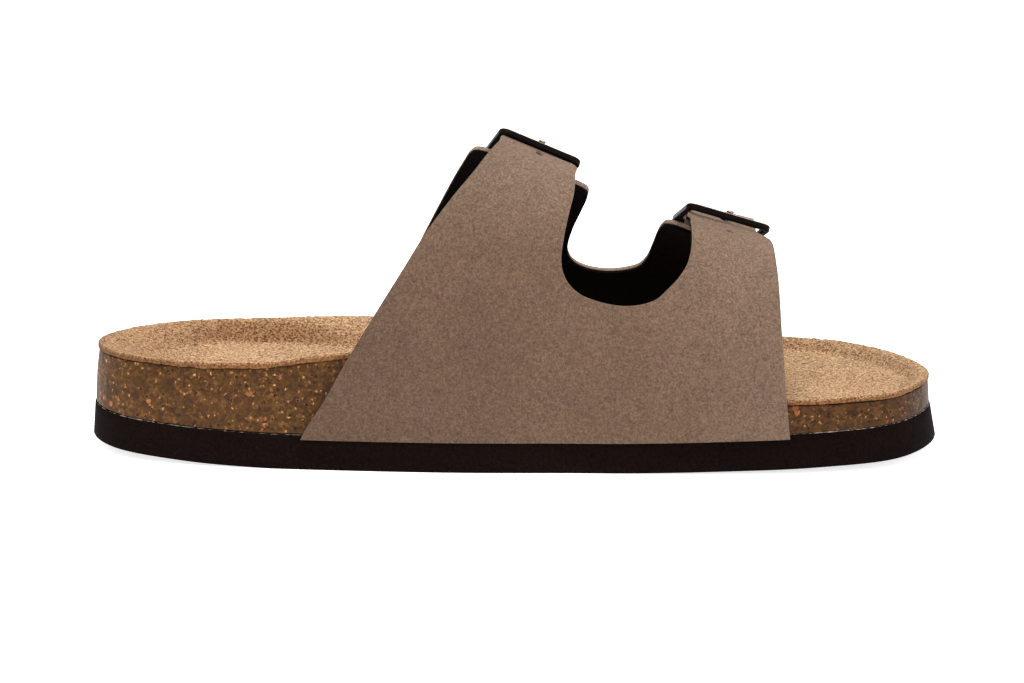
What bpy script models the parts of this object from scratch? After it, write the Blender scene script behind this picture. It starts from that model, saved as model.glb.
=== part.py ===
"""Cork footbed sandal for the left foot, with two broad buckled straps.

Metres, +Z up. +X runs from the heel to the toe and -Y is the inner (medial) side of the foot.
The sole stands on the floor, and the origin ends under the middle of the sandal's box.

The sole is lofted from one outline: outsole, cork footbed and suede insole share it, each with
its own inset and heights. The leather quarters are flat patterns laid on the surface of the last,
with a coordinate "round" that runs from 0 at the medial edge of the sole over the ridge of the
foot, at 0.5, to 1 at the lateral edge.
"""

import math

import bmesh
import bpy
import numpy as np
from mathutils import Matrix, Vector
from mathutils.geometry import delaunay_2d_cdt

# Sole, driving sizes
SOLE_LENGTH = 0.270
BALL_WIDTH = 0.096
OUTSOLE_THICKNESS = 0.011
OUTSOLE_FLARE = 0.0009
TOE_FLARE = 0.0020
TOE_TURN = 0.86
HEEL_RISE = 0.00345
TOE_SPRING = 0.00375
RISE_POWER = 1.25
FLAT_START = 0.222 * SOLE_LENGTH
FLAT_END = 0.615 * SOLE_LENGTH

# Tread: straight grooves across the sole
GROOVE_WIDTH = 0.003
GROOVE_DEPTH = 0.0016
GROOVE_PITCH = 0.009
GROOVE_EDGE = 0.008

# Footbed and insole
HEEL_HEIGHT = 0.0198
CORK_LEDGE = 0.0003
CORK_TAPER = 0.0016
TOE_TAPER = 0.0005
INSOLE_THICKNESS = 0.0017
PAD_HEIGHT = 0.0030
TOE_BAR_HEIGHT = 0.0020

# Leather upper
INSTEP_HEIGHT = 0.095
LEATHER = 0.0025
LEATHER_SKIRT = 0.0008
STRAP_RISE = 0.0033
STRAP_WIDTH = 0.026
TONGUE_WIDTH = 0.021
TONGUE_SINK = 0.0005
HOLE_WIDTH = 0.0026
HOLE_LENGTH = 0.0086
SHOULDER = 0.0014

# Buckles
BAR_WIDTH = 0.0021
BAR_EDGE = 0.0005
BUCKLE_WIDTH = 0.028
BAR_PITCH = 0.020
PRONG_RADIUS = 0.00065
PRONG_OVERHANG = 0.0005
KEEPER_WALL = 0.0013
KEEPER_WIDTH = 0.006
KEEPER_PLACE = 0.0068
KEEPER_FOOT = 0.0018

# Clearances
SEAT_GAP = 0.0003
SIDE_GAP = 0.0004
BAR_GAP = 0.0004
HOOK_GAP = 0.0004

# Mesh fineness
AROUND = 64
PANEL_STEP = 0.0052
EDGE_STEP = 0.0036
TONGUE_STEP = 0.0026

# Sole outline at the floor: share of the length from the heel, share of the ball width from the
# centre line with medial negative. Medial side from heel to toe, then back along the lateral side.
SOLE_OUTLINE = (
    (0.000, -0.008),
    (0.030, -0.182),
    (0.115, -0.292),
    (0.220, -0.342),
    (0.420, -0.403),
    (0.580, -0.420),
    (0.725, -0.444),
    (0.850, -0.445),
    (0.950, -0.376),
    (1.000, -0.140),
    (0.974, 0.122),
    (0.903, 0.342),
    (0.800, 0.455),
    (0.680, 0.506),
    (0.520, 0.440),
    (0.360, 0.394),
    (0.220, 0.370),
    (0.115, 0.323),
    (0.030, 0.168),
)

# Footbed rim and bed: share of the length, then heights above the outsole as shares of the heel
# height (medial rim, lateral rim, floor of the bed), then how far the wall of the bed runs in
# from the rim as shares of the ball width (medial, lateral).
FOOTBED_SECTIONS = (
    (0.000, 1.000, 1.000, 0.745, 0.230, 0.230),
    (0.074, 1.035, 1.035, 0.735, 0.135, 0.135),
    (0.148, 1.085, 1.060, 0.730, 0.090, 0.090),
    (0.222, 1.175, 1.090, 0.730, 0.118, 0.112),
    (0.296, 1.330, 1.090, 0.730, 0.185, 0.190),
    (0.415, 1.440, 1.010, 0.725, 0.240, 0.200),
    (0.556, 1.210, 0.810, 0.645, 0.215, 0.160),
    (0.704, 0.760, 0.630, 0.475, 0.105, 0.095),
    (0.826, 0.545, 0.545, 0.372, 0.064, 0.064),
    (1.000, 0.505, 0.505, 0.338, 0.078, 0.078),
)

# Depths in from the rim, as shares of the ball width, at which the bed has its rings
BED_RINGS = (0.000, 0.014, 0.031, 0.050, 0.070, 0.092, 0.118, 0.155, 0.210)
FLAT_RINGS = (0.000, 0.130)
SPINE_INSET = 0.16
WALL_POWER = 1.5
WALL_ROUND = 0.28

# Ridge of the last: share of the length, height above the floor as a share of the instep height,
# place across as a share of the ball width.
RIDGE = (
    (0.2235, 1.300, -0.031),
    (0.3715, 1.140, -0.031),
    (0.4905, 0.992, -0.042),
    (0.5345, 0.936, -0.042),
    (0.5795, 0.880, -0.042),
    (0.7125, 0.727, -0.052),
    (0.7575, 0.687, -0.062),
    (0.8015, 0.645, -0.062),
    (0.8715, 0.590, -0.073),
)
MEDIAL_FULLNESS = (2.3, 2.0)
LATERAL_FULLNESS = (2.4, 1.5)

# Edges of the medial quarter: share of the length, round.
MEDIAL_REAR_EDGE = (
    (0.2545, 0.000),
    (0.2815, 0.026),
    (0.3075, 0.062),
    (0.3365, 0.107),
    (0.3715, 0.170),
    (0.3995, 0.230),
    (0.429, 0.295),
    (0.456, 0.365),
    (0.478, 0.456),
    (0.4815, 0.482),
)
MEDIAL_NOTCH = (
    (0.569, 0.482),
    (0.5675, 0.458),
    (0.5665, 0.390),
    (0.5625, 0.345),
    (0.5575, 0.290),
    (0.5555, 0.255),
    (0.5575, 0.234),
    (0.5645, 0.217),
    (0.5775, 0.205),
    (0.5975, 0.200),
    (0.6145, 0.200),
    (0.6295, 0.203),
    (0.6475, 0.212),
    (0.6645, 0.228),
    (0.6775, 0.253),
    (0.6905, 0.285),
    (0.6995, 0.320),
    (0.7035, 0.357),
    (0.7045, 0.403),
    (0.7035, 0.465),
    (0.7035, 0.482),
)
MEDIAL_FRONT_EDGE = (
    (0.7965, 0.482),
    (0.7988, 0.462),
    (0.8014, 0.410),
    (0.8045, 0.350),
    (0.807, 0.280),
    (0.809, 0.215),
    (0.8115, 0.147),
    (0.8145, 0.065),
    (0.8185, 0.000),
)

# Edges of the lateral quarter, one loop from the rear corner of its base: share of the length,
# round. Its two flaps end just past the ridge, under the buckles.
LATERAL_EDGES = (
    (0.2975, 1.000),
    (0.3195, 0.970),
    (0.3405, 0.940),
    (0.3555, 0.915),
    (0.37, 0.885),
    (0.3795, 0.865),
    (0.3955, 0.815),
    (0.4105, 0.765),
    (0.4275, 0.705),
    (0.4425, 0.648),
    (0.4505, 0.612),
    (0.4575, 0.592),
    (0.4675, 0.583),
    (0.4815, 0.580),
    (0.5215, 0.578),
    (0.5615, 0.565),
    (0.5775, 0.557),
    (0.587, 0.568),
    (0.5895, 0.605),
    (0.583, 0.665),
    (0.5735, 0.725),
    (0.5685, 0.768),
    (0.5685, 0.793),
    (0.5745, 0.813),
    (0.5885, 0.825),
    (0.6065, 0.828),
    (0.6215, 0.825),
    (0.6385, 0.815),
    (0.6535, 0.798),
    (0.6625, 0.768),
    (0.6685, 0.718),
    (0.6725, 0.670),
    (0.6765, 0.630),
    (0.6825, 0.599),
    (0.6935, 0.586),
    (0.7095, 0.588),
    (0.7465, 0.588),
    (0.7835, 0.588),
    (0.7965, 0.594),
    (0.8035, 0.612),
    (0.8055, 0.660),
    (0.8055, 0.740),
    (0.8055, 0.820),
    (0.8055, 0.890),
    (0.8065, 0.950),
    (0.8085, 1.000),
)

# Buckled straps: place of the outer bar on the ridge as a share of the length, how far the bar
# stands clear of the leather beyond its seat, length of the tail past the hinge bar, and how far
# the bar is turned from the ridge, in degrees, with its toe end to the lateral side.
BUCKLES = {
    "rear": (0.5240, 0.0000, 0.038, 3.0),
    "front": (0.7465, 0.0009, 0.032, 8.0),
}
NOTCH_MIDDLE = 0.63 * SOLE_LENGTH

# Rise of the strap through the buckle, as shares of the way from the ridge to the hinge bar: where
# it starts to climb over the hinge bar, where it is up, and the middle of the slot between them.
# Past the hinge bar: where it starts down and where it lies on the lateral quarter, in bar pitches.
CLIMB_START, CLIMB_END, HOLE_MIDDLE = 0.09, 0.72, 0.46
FALL_START, FALL_END = 0.10, 0.46

# Rise of the leather off the last towards the ridge, between these places round it
RISE_FROM, RISE_TO = 0.12, 0.40

# Scale that makes the pattern plane (length, round) about even in both directions
GIRTH = 2.0 * INSTEP_HEIGHT


def smooth_step(value):
    """0 below 0, 1 above 1, and a smooth S between."""
    value = np.clip(value, 0.0, 1.0)
    return value * value * (3.0 - 2.0 * value)


def smooth_curve(points, step, closed=False):
    """Points at most a step apart along a centripetal Catmull-Rom curve through the given ones."""
    points = np.array(points, float)
    count = len(points)
    if closed:
        padded = np.vstack([points[-1:], points, points[:2]])
        spans = count
    else:
        padded = np.vstack([2 * points[0] - points[1], points, 2 * points[-1] - points[-2]])
        spans = count - 1
    found = []
    for span in range(spans):
        p0, p1, p2, p3 = padded[span : span + 4]
        t1 = math.sqrt(np.linalg.norm(p1 - p0))
        t2 = t1 + math.sqrt(np.linalg.norm(p2 - p1))
        t3 = t2 + math.sqrt(np.linalg.norm(p3 - p2))
        pieces = max(1, math.ceil(np.linalg.norm(p2 - p1) / step))
        for t in np.linspace(t1, t2, pieces, endpoint=False):
            a1 = ((t1 - t) * p0 + t * p1) / t1
            a2 = ((t2 - t) * p1 + (t - t1) * p2) / (t2 - t1)
            a3 = ((t3 - t) * p2 + (t - t2) * p3) / (t3 - t2)
            b1 = ((t2 - t) * a1 + t * a2) / t2
            b2 = ((t3 - t) * a2 + (t - t1) * a3) / (t3 - t1)
            found.append(((t2 - t) * b1 + (t - t1) * b2) / (t2 - t1))
    if not closed:
        found.append(points[-1])
    return np.array(found)


def sole_sides():
    """The outline's two sides as (x, y) arrays from heel to toe, medial first."""
    points = smooth_curve(np.array(SOLE_OUTLINE) * (SOLE_LENGTH, BALL_WIDTH), 0.002, closed=True)
    heel = points[:, 0].argmin()
    points = np.roll(points, -heel, axis=0)
    points[:, 0] -= points[0, 0]
    toe = points[:, 0].argmax()
    points[:, 0] *= SOLE_LENGTH / points[toe, 0]
    medial = points[: toe + 1]
    lateral = np.vstack([points[toe:], points[:1]])[::-1]
    return medial, lateral


MEDIAL_SIDE, LATERAL_SIDE = sole_sides()


def station_outline(flare=0.0, taper=0.0, ledge=0.0):
    """The sole outline drawn in, as AROUND points that pair up across the sole.

    It is drawn in by these shares of the outsole's flare and the cork's taper, and by the ledge.
    """
    angles = 2 * math.pi * np.arange(AROUND) / AROUND
    x = SOLE_LENGTH * (1 - np.cos(angles)) / 2
    medial = np.interp(x, MEDIAL_SIDE[:, 0], MEDIAL_SIDE[:, 1])
    lateral = np.interp(x, LATERAL_SIDE[:, 0], LATERAL_SIDE[:, 1])
    points = np.column_stack([x, np.where(angles < math.pi, medial, lateral)])
    along = np.roll(points, -1, axis=0) - np.roll(points, 1, axis=0)
    along /= np.linalg.norm(along, axis=1, keepdims=True)
    inward = np.column_stack([-along[:, 1], along[:, 0]])
    toe = smooth_step((x / SOLE_LENGTH - TOE_TURN) / (1 - TOE_TURN))
    inset = flare * (OUTSOLE_FLARE + (TOE_FLARE - OUTSOLE_FLARE) * toe)
    inset += taper * (CORK_TAPER + (TOE_TAPER - CORK_TAPER) * toe) + ledge
    return points + inset[:, None] * inward


def station_spine():
    """The point on the sole's centre line that each point of the outline closes to."""
    angles = 2 * math.pi * np.arange(AROUND) / AROUND
    share = SPINE_INSET + (1 - 2 * SPINE_INSET) * (1 - np.cos(angles)) / 2
    x = SOLE_LENGTH * share
    medial = np.interp(x, MEDIAL_SIDE[:, 0], MEDIAL_SIDE[:, 1])
    lateral = np.interp(x, LATERAL_SIDE[:, 0], LATERAL_SIDE[:, 1])
    return np.column_stack([x, (medial + lateral) / 2])


def lift(x):
    """Height of the sole's underside over the floor: heel rise, flat, then toe spring."""
    heel = np.clip((FLAT_START - x) / FLAT_START, 0.0, None) ** RISE_POWER
    toe = np.clip((x - FLAT_END) / (SOLE_LENGTH - FLAT_END), 0.0, None) ** RISE_POWER
    return HEEL_RISE * heel + TOE_SPRING * toe


def section_value(x, column):
    """One column of the footbed's table at this place along the sole."""
    table = np.array(FOOTBED_SECTIONS)
    curve = smooth_curve(table[:, (0, column)], 0.01)
    return np.interp(x / SOLE_LENGTH, curve[:, 0], curve[:, 1])


def foot_share(reach):
    """1 at the rim, 0 past the foot of the wall, with a short round where they meet."""
    steep = reach**WALL_POWER
    blend = np.clip(0.5 + 0.5 * (1 - steep) / WALL_ROUND, 0.0, 1.0)
    return (1 - steep) * blend + WALL_ROUND * blend * (1 - blend)


def bed_shape(points, edge, depth):
    """Height of the insole's top face over the outsole, at points this deep in from the rim."""
    x, y = points[:, 0], points[:, 1]
    medial = np.arange(AROUND) < AROUND / 2
    rim = np.where(medial, section_value(edge[:, 0], 1), section_value(edge[:, 0], 2))
    run = np.where(medial, section_value(edge[:, 0], 4), section_value(edge[:, 0], 5))
    floor = section_value(x, 3)
    wall = foot_share(depth / (run * BALL_WIDTH))
    height = HEEL_HEIGHT * (floor + (rim - floor) * wall)
    inside = smooth_step(depth / (0.10 * BALL_WIDTH))
    along, across = x / SOLE_LENGTH, y / BALL_WIDTH
    pad = np.exp(-(((along - 0.60) / 0.065) ** 2) - ((across + 0.02) / 0.17) ** 2)
    bar = np.exp(-(((along - 0.815 + 0.10 * across) / 0.026) ** 2))
    return height + inside * (PAD_HEIGHT * pad + TOE_BAR_HEIGHT * bar)


def link_object(name, data, collection):
    """A new object with this data, in this collection."""
    made = bpy.data.objects.new(name, data)
    collection.objects.link(made)
    return made


def shade_round(mesh, angle=40.0):
    """Smooth shading, with edges sharper than the angle left sharp."""
    mesh.shade_smooth()
    mesh.set_sharp_from_angle(angle=math.radians(angle))


def ring_solid(name, faces, collection):
    """A closed solid between an underside and a top, each given as rings from its edge inwards.

    Each ring is AROUND points, and the last ring of each face is the spine, where the two points
    of a pair meet.
    """
    build = bmesh.new()
    loops = []
    for rings in faces:
        made = [[build.verts.new(point) for point in ring] for ring in rings[:-1]]
        spine = {}
        for index, point in enumerate(rings[-1]):
            pair = min(index, AROUND - index)
            if pair not in spine:
                spine[pair] = build.verts.new(point)
        made.append([spine[min(index, AROUND - index)] for index in range(AROUND)])
        loops.append(made)
    under, top = loops
    chain = under[::-1] + top
    for level, (low, high) in enumerate(zip(chain[:-1], chain[1:])):
        for index in range(AROUND):
            after = (index + 1) % AROUND
            if level < len(under):
                halves = (low[index], low[after], high[index]), (low[after], high[after], high[index])
            else:
                halves = (low[index], low[after], high[after]), (low[index], high[after], high[index])
            for corners in halves:
                if len(set(corners)) == 3:
                    build.faces.new(corners)
    bmesh.ops.recalc_face_normals(build, faces=build.faces)
    mesh = bpy.data.meshes.new(name)
    build.to_mesh(mesh)
    build.free()
    shade_round(mesh)
    return link_object(name, mesh, collection)


def rings_of(edge, depths, height_of):
    """Rings at these depths in from an edge loop, and the spine, with heights from a function."""
    spine = station_spine()
    reach = np.linalg.norm(spine - edge, axis=1)
    rings = []
    for share in depths:
        depth = share * BALL_WIDTH
        points = edge + (spine - edge) * (depth / reach)[:, None]
        rings.append(np.column_stack([points, height_of(points, depth)]))
    rings.append(np.column_stack([spine, height_of(spine, reach)]))
    return rings


def make_outsole(collection, cutters):
    """The flat rubber sheet under the cork, flared to the floor, with straight tread grooves."""
    floor_edge = station_outline()
    top_edge = station_outline(1.0)

    def under_height(points, depth):
        return lift(points[:, 0])

    def top_height(points, depth):
        return lift(points[:, 0]) + OUTSOLE_THICKNESS

    under = rings_of(floor_edge, FLAT_RINGS, under_height)
    top = rings_of(top_edge, FLAT_RINGS, top_height)
    outsole = ring_solid("outsole", (under, top), collection)

    grooves = bpy.data.collections.new("tread_grooves")
    cutters.children.link(grooves)
    count = int((SOLE_LENGTH - 4 * GROOVE_EDGE) / GROOVE_PITCH)
    first = (SOLE_LENGTH - (count - 1) * GROOVE_PITCH) / 2
    for index in range(count):
        x = first + index * GROOVE_PITCH
        near = max(np.interp((x - GROOVE_WIDTH, x + GROOVE_WIDTH), *MEDIAL_SIDE.T)) + GROOVE_EDGE
        far = min(np.interp((x - GROOVE_WIDTH, x + GROOVE_WIDTH), *LATERAL_SIDE.T)) - GROOVE_EDGE
        bpy.ops.mesh.primitive_cube_add(size=1.0, location=(x, (near + far) / 2, float(lift(x))))
        cutter = bpy.context.object
        cutter.name = f"tread_groove_{index + 1:02d}"
        cutter.data.transform(Matrix.Diagonal((GROOVE_WIDTH, far - near, 2 * GROOVE_DEPTH, 1.0)))
        for owner in cutter.users_collection:
            owner.objects.unlink(cutter)
        grooves.objects.link(cutter)
        hide_helper(cutter)
    cut = outsole.modifiers.new("tread", "BOOLEAN")
    cut.operation = "DIFFERENCE"
    cut.operand_type = "COLLECTION"
    cut.collection = grooves
    cut.solver = "EXACT"
    return outsole


def hide_helper(helper):
    """Mark a cutter or a joined part as no piece of its own."""
    helper.hide_render = True
    helper.display_type = "WIRE"


def make_footbed(collection):
    """The cork block: its wall tapers in to the rim, and its top is the moulded bed."""
    base_edge = station_outline(1.0, 0.0, CORK_LEDGE)
    rim_edge = station_outline(1.0, 1.0, CORK_LEDGE)

    def under_height(points, depth):
        return lift(points[:, 0]) + OUTSOLE_THICKNESS + SEAT_GAP

    def top_height(points, depth):
        bed = bed_shape(points, rim_edge, depth) - INSOLE_THICKNESS - SEAT_GAP
        return lift(points[:, 0]) + OUTSOLE_THICKNESS + bed

    under = rings_of(base_edge, FLAT_RINGS, under_height)
    top = rings_of(rim_edge, BED_RINGS, top_height)
    return ring_solid("footbed", (under, top), collection)


def make_insole(collection):
    """The suede liner that covers the top of the cork out to the rim."""
    rim_edge = station_outline(1.0, 1.0, CORK_LEDGE)

    def under_height(points, depth):
        bed = bed_shape(points, rim_edge, depth) - INSOLE_THICKNESS
        return lift(points[:, 0]) + OUTSOLE_THICKNESS + bed

    def top_height(points, depth):
        return under_height(points, depth) + INSOLE_THICKNESS

    under = rings_of(rim_edge, BED_RINGS, under_height)
    top = rings_of(rim_edge, BED_RINGS, top_height)
    return ring_solid("insole", (under, top), collection)


def last_point(x, round_place):
    """Points on the last: x along the sole, and 0 to 1 round it over the ridge."""
    x, place = np.broadcast_arrays(np.asarray(x, float), np.asarray(round_place, float))
    ridge = np.array(RIDGE)
    ridge_z = INSTEP_HEIGHT * np.interp(x / SOLE_LENGTH, ridge[:, 0], ridge[:, 1])
    ridge_y = BALL_WIDTH * np.interp(x / SOLE_LENGTH, ridge[:, 0], ridge[:, 2])
    medial_y = np.interp(x, MEDIAL_SIDE[:, 0], MEDIAL_SIDE[:, 1]) + OUTSOLE_FLARE - SIDE_GAP
    lateral_y = np.interp(x, LATERAL_SIDE[:, 0], LATERAL_SIDE[:, 1]) - OUTSOLE_FLARE + SIDE_GAP
    base_z = lift(x) + OUTSOLE_THICKNESS - LEATHER_SKIRT
    cosine, sine = np.cos(math.pi * place), np.sin(math.pi * place)
    blend = smooth_step(np.abs(sine))
    medial_power = MEDIAL_FULLNESS[0] + (MEDIAL_FULLNESS[1] - MEDIAL_FULLNESS[0]) * blend
    lateral_power = LATERAL_FULLNESS[0] + (LATERAL_FULLNESS[1] - LATERAL_FULLNESS[0]) * blend
    medial = place < 0.5
    power = 2.0 / np.where(medial, medial_power, lateral_power)
    half = np.where(medial, ridge_y - medial_y, lateral_y - ridge_y)
    y = ridge_y - np.sign(cosine) * half * np.abs(cosine) ** power
    z = base_z + (ridge_z - base_z) * np.abs(sine) ** power
    return np.stack([x, y, z], axis=-1)


def last_normal(x, round_place):
    """Outward normals of the last at these places."""
    step_x, step_round = 0.0005, 0.001
    place = np.clip(round_place, 0.002, 0.998)
    along = last_point(x + step_x, place) - last_point(x - step_x, place)
    across = last_point(x, place + step_round) - last_point(x, place - step_round)
    normal = np.cross(along, across)
    return normal / np.linalg.norm(normal, axis=-1, keepdims=True)


def off_last(x, round_place, height):
    """Points this far out from the last."""
    height = np.asarray(height, float)
    return last_point(x, round_place) + last_normal(x, round_place) * height[..., None]


class StrapSeat:
    """Where one strap crosses the ridge: its bar, its frame's axes and its centre line."""

    def __init__(self, place, slack, tail, turn):
        self.x = place * SOLE_LENGTH
        self.tail = tail
        self.origin = last_point(self.x, 0.5)
        span = last_point(self.x + 0.01, 0.5) - last_point(self.x - 0.01, 0.5)
        span /= np.linalg.norm(span)
        side = np.cross(last_normal(self.x, 0.5), span)
        turn = math.radians(turn)
        self.across = math.cos(turn) * span + math.sin(turn) * side
        self.round = np.linspace(0.45, 0.98, 400)
        self.line_x = self.solve_x(self.round, 0.0)
        line = last_point(self.line_x, self.round)
        steps = np.linalg.norm(np.diff(line, axis=0), axis=1)
        self.length = np.concatenate([[0.0], np.cumsum(steps)])
        self.length -= np.interp(0.5, self.round, self.length)
        bar_seat = STRAP_RISE + LEATHER + BAR_GAP + BAR_WIDTH / 2 + slack
        self.bar = off_last(self.x, 0.5, bar_seat)
        self.lay_frame(line)

    def lay_frame(self, line):
        """Swing the frame down about its outer bar until it meets the lateral quarter."""
        sides = np.linspace(-0.5, 0.5, 9) * BUCKLE_WIDTH
        place, across = np.meshgrid(np.linspace(0.58, 0.72, 40), sides, indexing="ij")
        under = off_last(self.solve_x(place, across), place, np.full(place.shape, LEATHER))
        seat = BAR_WIDTH / 2 + SEAT_GAP
        up = np.cross(self.across, (0.0, 1.0, 0.0))
        up /= np.linalg.norm(up)
        flat = np.cross(up, self.across)
        rest = (under - self.bar).reshape(-1, 3)
        reach, height = rest @ flat, rest @ up
        span = np.hypot(reach, height)
        near = (span > 0.3 * BAR_PITCH) & (span < BAR_PITCH + BAR_WIDTH)
        angle = np.arctan2(height, reach) + np.arcsin(seat / span.clip(2 * seat))
        dip = angle[near].max()
        self.along = math.cos(dip) * flat + math.sin(dip) * up
        self.out = np.cross(self.across, self.along)
        where = (line - self.bar) @ self.along
        self.hinge = np.interp(BAR_PITCH, where, self.length)

    def solve_x(self, place, across):
        """The x at which the last, this far round, lies this far across from the centre line."""
        x = np.full(np.shape(place), self.x) + across * self.across[0]
        for _ in range(12):
            off = (last_point(x, place) - self.origin) @ self.across - across
            x = x - off / self.across[0]
        return x

    def pattern(self, along, across):
        """(x, round) of a point this far past the ridge and this far across."""
        place = np.interp(along, self.length, self.round)
        x = self.solve_x(place, across)
        for _ in range(8):
            leather = off_last(x, place, medial_height(x, place))
            x = x - ((leather - self.bar) @ self.across - across) / self.across[0]
        return np.column_stack([x, place])

    def in_frame(self, across, along, out):
        """A point in the buckle's own axes, from the middle of the outer bar."""
        return self.bar + self.across * across + self.along * along + self.out * out


SEATS = {name: StrapSeat(*row) for name, row in BUCKLES.items()}


def medial_height(x, place):
    """How far the medial quarter's outer face stands off the last, tongues included."""
    low = LEATHER + STRAP_RISE * smooth_step((place - RISE_FROM) / (RISE_TO - RISE_FROM))
    over_prong = BAR_WIDTH / 2 + HOOK_GAP + 2 * PRONG_RADIUS + SEAT_GAP + LEATHER
    lying = LEATHER - TONGUE_SINK + LEATHER
    share, past, drop = [], [], []
    for seat in (SEATS["rear"], SEATS["front"]):
        along = np.interp(place, seat.round, seat.length)
        share.append(along / seat.hinge)
        past.append((along - seat.hinge) / BAR_PITCH)
        drop.append((seat.bar - last_point(x, place)) @ seat.out)
    share = np.where(x < NOTCH_MIDDLE, *share)
    past = np.where(x < NOTCH_MIDDLE, *past)
    high = over_prong + np.where(x < NOTCH_MIDDLE, *drop)
    climb = smooth_step((share - CLIMB_START) / (CLIMB_END - CLIMB_START))
    fall = smooth_step((past - FALL_START) / (FALL_END - FALL_START))
    tongue = LEATHER + STRAP_RISE + (high - LEATHER - STRAP_RISE) * climb
    tongue = tongue + (lying - tongue) * fall
    return np.where(place < 0.5, low, tongue)


def lateral_height(x, place):
    """The lateral quarter lies on the last: its outer face is one leather above it."""
    return np.full(np.shape(place), LEATHER)


def inside(points, loop):
    """Which of the points lie inside a closed loop in the plane."""
    found = np.zeros(len(points), bool)
    for start, end in zip(loop, np.roll(loop, -1, axis=0)):
        crosses = (start[1] > points[:, 1]) != (end[1] > points[:, 1])
        rise = end[1] - start[1]
        rise = rise if rise else 1e-12
        where = start[0] + (points[:, 1] - start[1]) * (end[0] - start[0]) / rise
        found ^= crosses & (points[:, 0] < where)
    return found


def clear_of(points, loop, distance):
    """Which of the points lie at least this far from every point of a loop."""
    gaps = np.linalg.norm(points[:, None, :] - loop[None, :, :], axis=2)
    return gaps.min(axis=1) > distance


def even_points(loop, step):
    """Points of a triangular grid inside a loop."""
    low, high = loop.min(axis=0), loop.max(axis=0)
    rows = np.arange(low[1], high[1], step * math.sqrt(3) / 2)
    found = []
    for index, row in enumerate(rows):
        start = low[0] + (step / 2 if index % 2 else 0.0)
        columns = np.arange(start, high[0], step)
        found.append(np.column_stack([columns, np.full(len(columns), row)]))
    found = np.vstack(found)
    return found[inside(found, loop)]


def leather_panel(name, loop, holes, extra, height_of, collection):
    """A leather piece cut to a pattern, laid on the last and given its thickness inwards.

    The loop, the holes and the extra points are in the pattern plane (x, round times GIRTH).
    """
    grid = even_points(loop, PANEL_STEP)
    grid = grid[grid[:, 1] < 0.49 * GIRTH] if len(extra) else grid
    grid = grid[clear_of(grid, loop, 0.6 * EDGE_STEP)]
    if len(extra):
        extra = extra[inside(extra, loop) & clear_of(extra, loop, 0.5 * TONGUE_STEP)]
        grid = np.vstack([grid, extra])
    for hole in holes:
        grid = grid[~inside(grid, hole) & clear_of(grid, hole, 0.4 * TONGUE_STEP)]
    points, edges, start = [loop], [], 0
    for ring in [loop, *holes]:
        count = len(ring)
        edges += [(start + index, start + (index + 1) % count) for index in range(count)]
        start += count
    points = np.vstack([loop, *holes, grid])
    flat = [Vector(point) for point in points]
    spots, _, triangles, *_ = delaunay_2d_cdt(flat, edges, [], 0, 1e-7)
    spots = np.array(spots)
    centres = spots[np.array(triangles)].mean(axis=1)
    keep = inside(centres, loop)
    for hole in holes:
        keep &= ~inside(centres, hole)
    x, place = spots[:, 0], spots[:, 1] / GIRTH
    solid = off_last(x, place, height_of(x, place))
    mesh = bpy.data.meshes.new(name)
    mesh.from_pydata(solid.tolist(), [], [tri for tri, kept in zip(triangles, keep) if kept])
    build = bmesh.new()
    build.from_mesh(mesh)
    bmesh.ops.delete(build, geom=[v for v in build.verts if not v.link_faces], context="VERTS")
    bmesh.ops.recalc_face_normals(build, faces=build.faces)
    top = max(build.faces, key=lambda face: face.calc_center_median().z)
    if top.normal.z < 0:
        bmesh.ops.reverse_faces(build, faces=build.faces)
    build.to_mesh(mesh)
    build.free()
    shade_round(mesh)
    panel = link_object(name, mesh, collection)
    wall = panel.modifiers.new("leather", "SOLIDIFY")
    wall.thickness = LEATHER
    wall.offset = -1.0
    return panel


def to_pattern_plane(pattern):
    """(x, round) points in the even pattern plane."""
    return np.asarray(pattern, float) * (1.0, GIRTH)


def edge_curve(rows):
    """A smooth edge through table rows of (share of the length, round)."""
    return smooth_curve(to_pattern_plane(np.array(rows) * (SOLE_LENGTH, 1.0)), EDGE_STEP)


def base_line(start_x, end_x, place):
    """Points along the quarter's bottom edge, between two corners."""
    count = math.ceil(abs(end_x - start_x) / EDGE_STEP)
    x = np.linspace(start_x, end_x, count + 1)[1:-1]
    return to_pattern_plane(np.column_stack([x, np.full(len(x), place)]))


def tongue_loop(seat):
    """Outline of one strap past the outer bar: shoulders, sides and round tip."""
    half, full = TONGUE_WIDTH / 2, STRAP_WIDTH / 2
    end = seat.hinge + seat.tail
    side = np.arange(SHOULDER / 2, end - half - TONGUE_STEP / 2, TONGUE_STEP)
    turn = np.linspace(-math.pi / 2, math.pi / 2, 9)
    shoulder = [-SHOULDER]
    tip = end - half + half * np.cos(turn)
    along = np.concatenate([shoulder, side, tip, side[::-1], shoulder])
    sides = np.full(len(side), half)
    across = np.concatenate([[-full], -sides, half * np.sin(turn), sides, [full]])
    return to_pattern_plane(seat.pattern(along, across))


def tongue_points(seat):
    """Inner points of a tongue, in rows across it."""
    along = np.arange(0.3 * TONGUE_STEP, seat.hinge + seat.tail, TONGUE_STEP)
    across = np.array([-0.31, 0.0, 0.31]) * TONGUE_WIDTH
    along, across = np.meshgrid(along, across, indexing="ij")
    return to_pattern_plane(seat.pattern(along.ravel(), across.ravel()))


def prong_hole(seat):
    """The slot in the strap that the prong comes up through."""
    half, reach = HOLE_WIDTH / 2, (HOLE_LENGTH - HOLE_WIDTH) / 2
    turn = np.linspace(0.0, 2 * math.pi, 12, endpoint=False)
    middle = HOLE_MIDDLE * seat.hinge
    along = middle + half * np.cos(turn) + np.where(np.cos(turn) > 0, reach, -reach)
    return to_pattern_plane(seat.pattern(along, half * np.sin(turn)))


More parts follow.
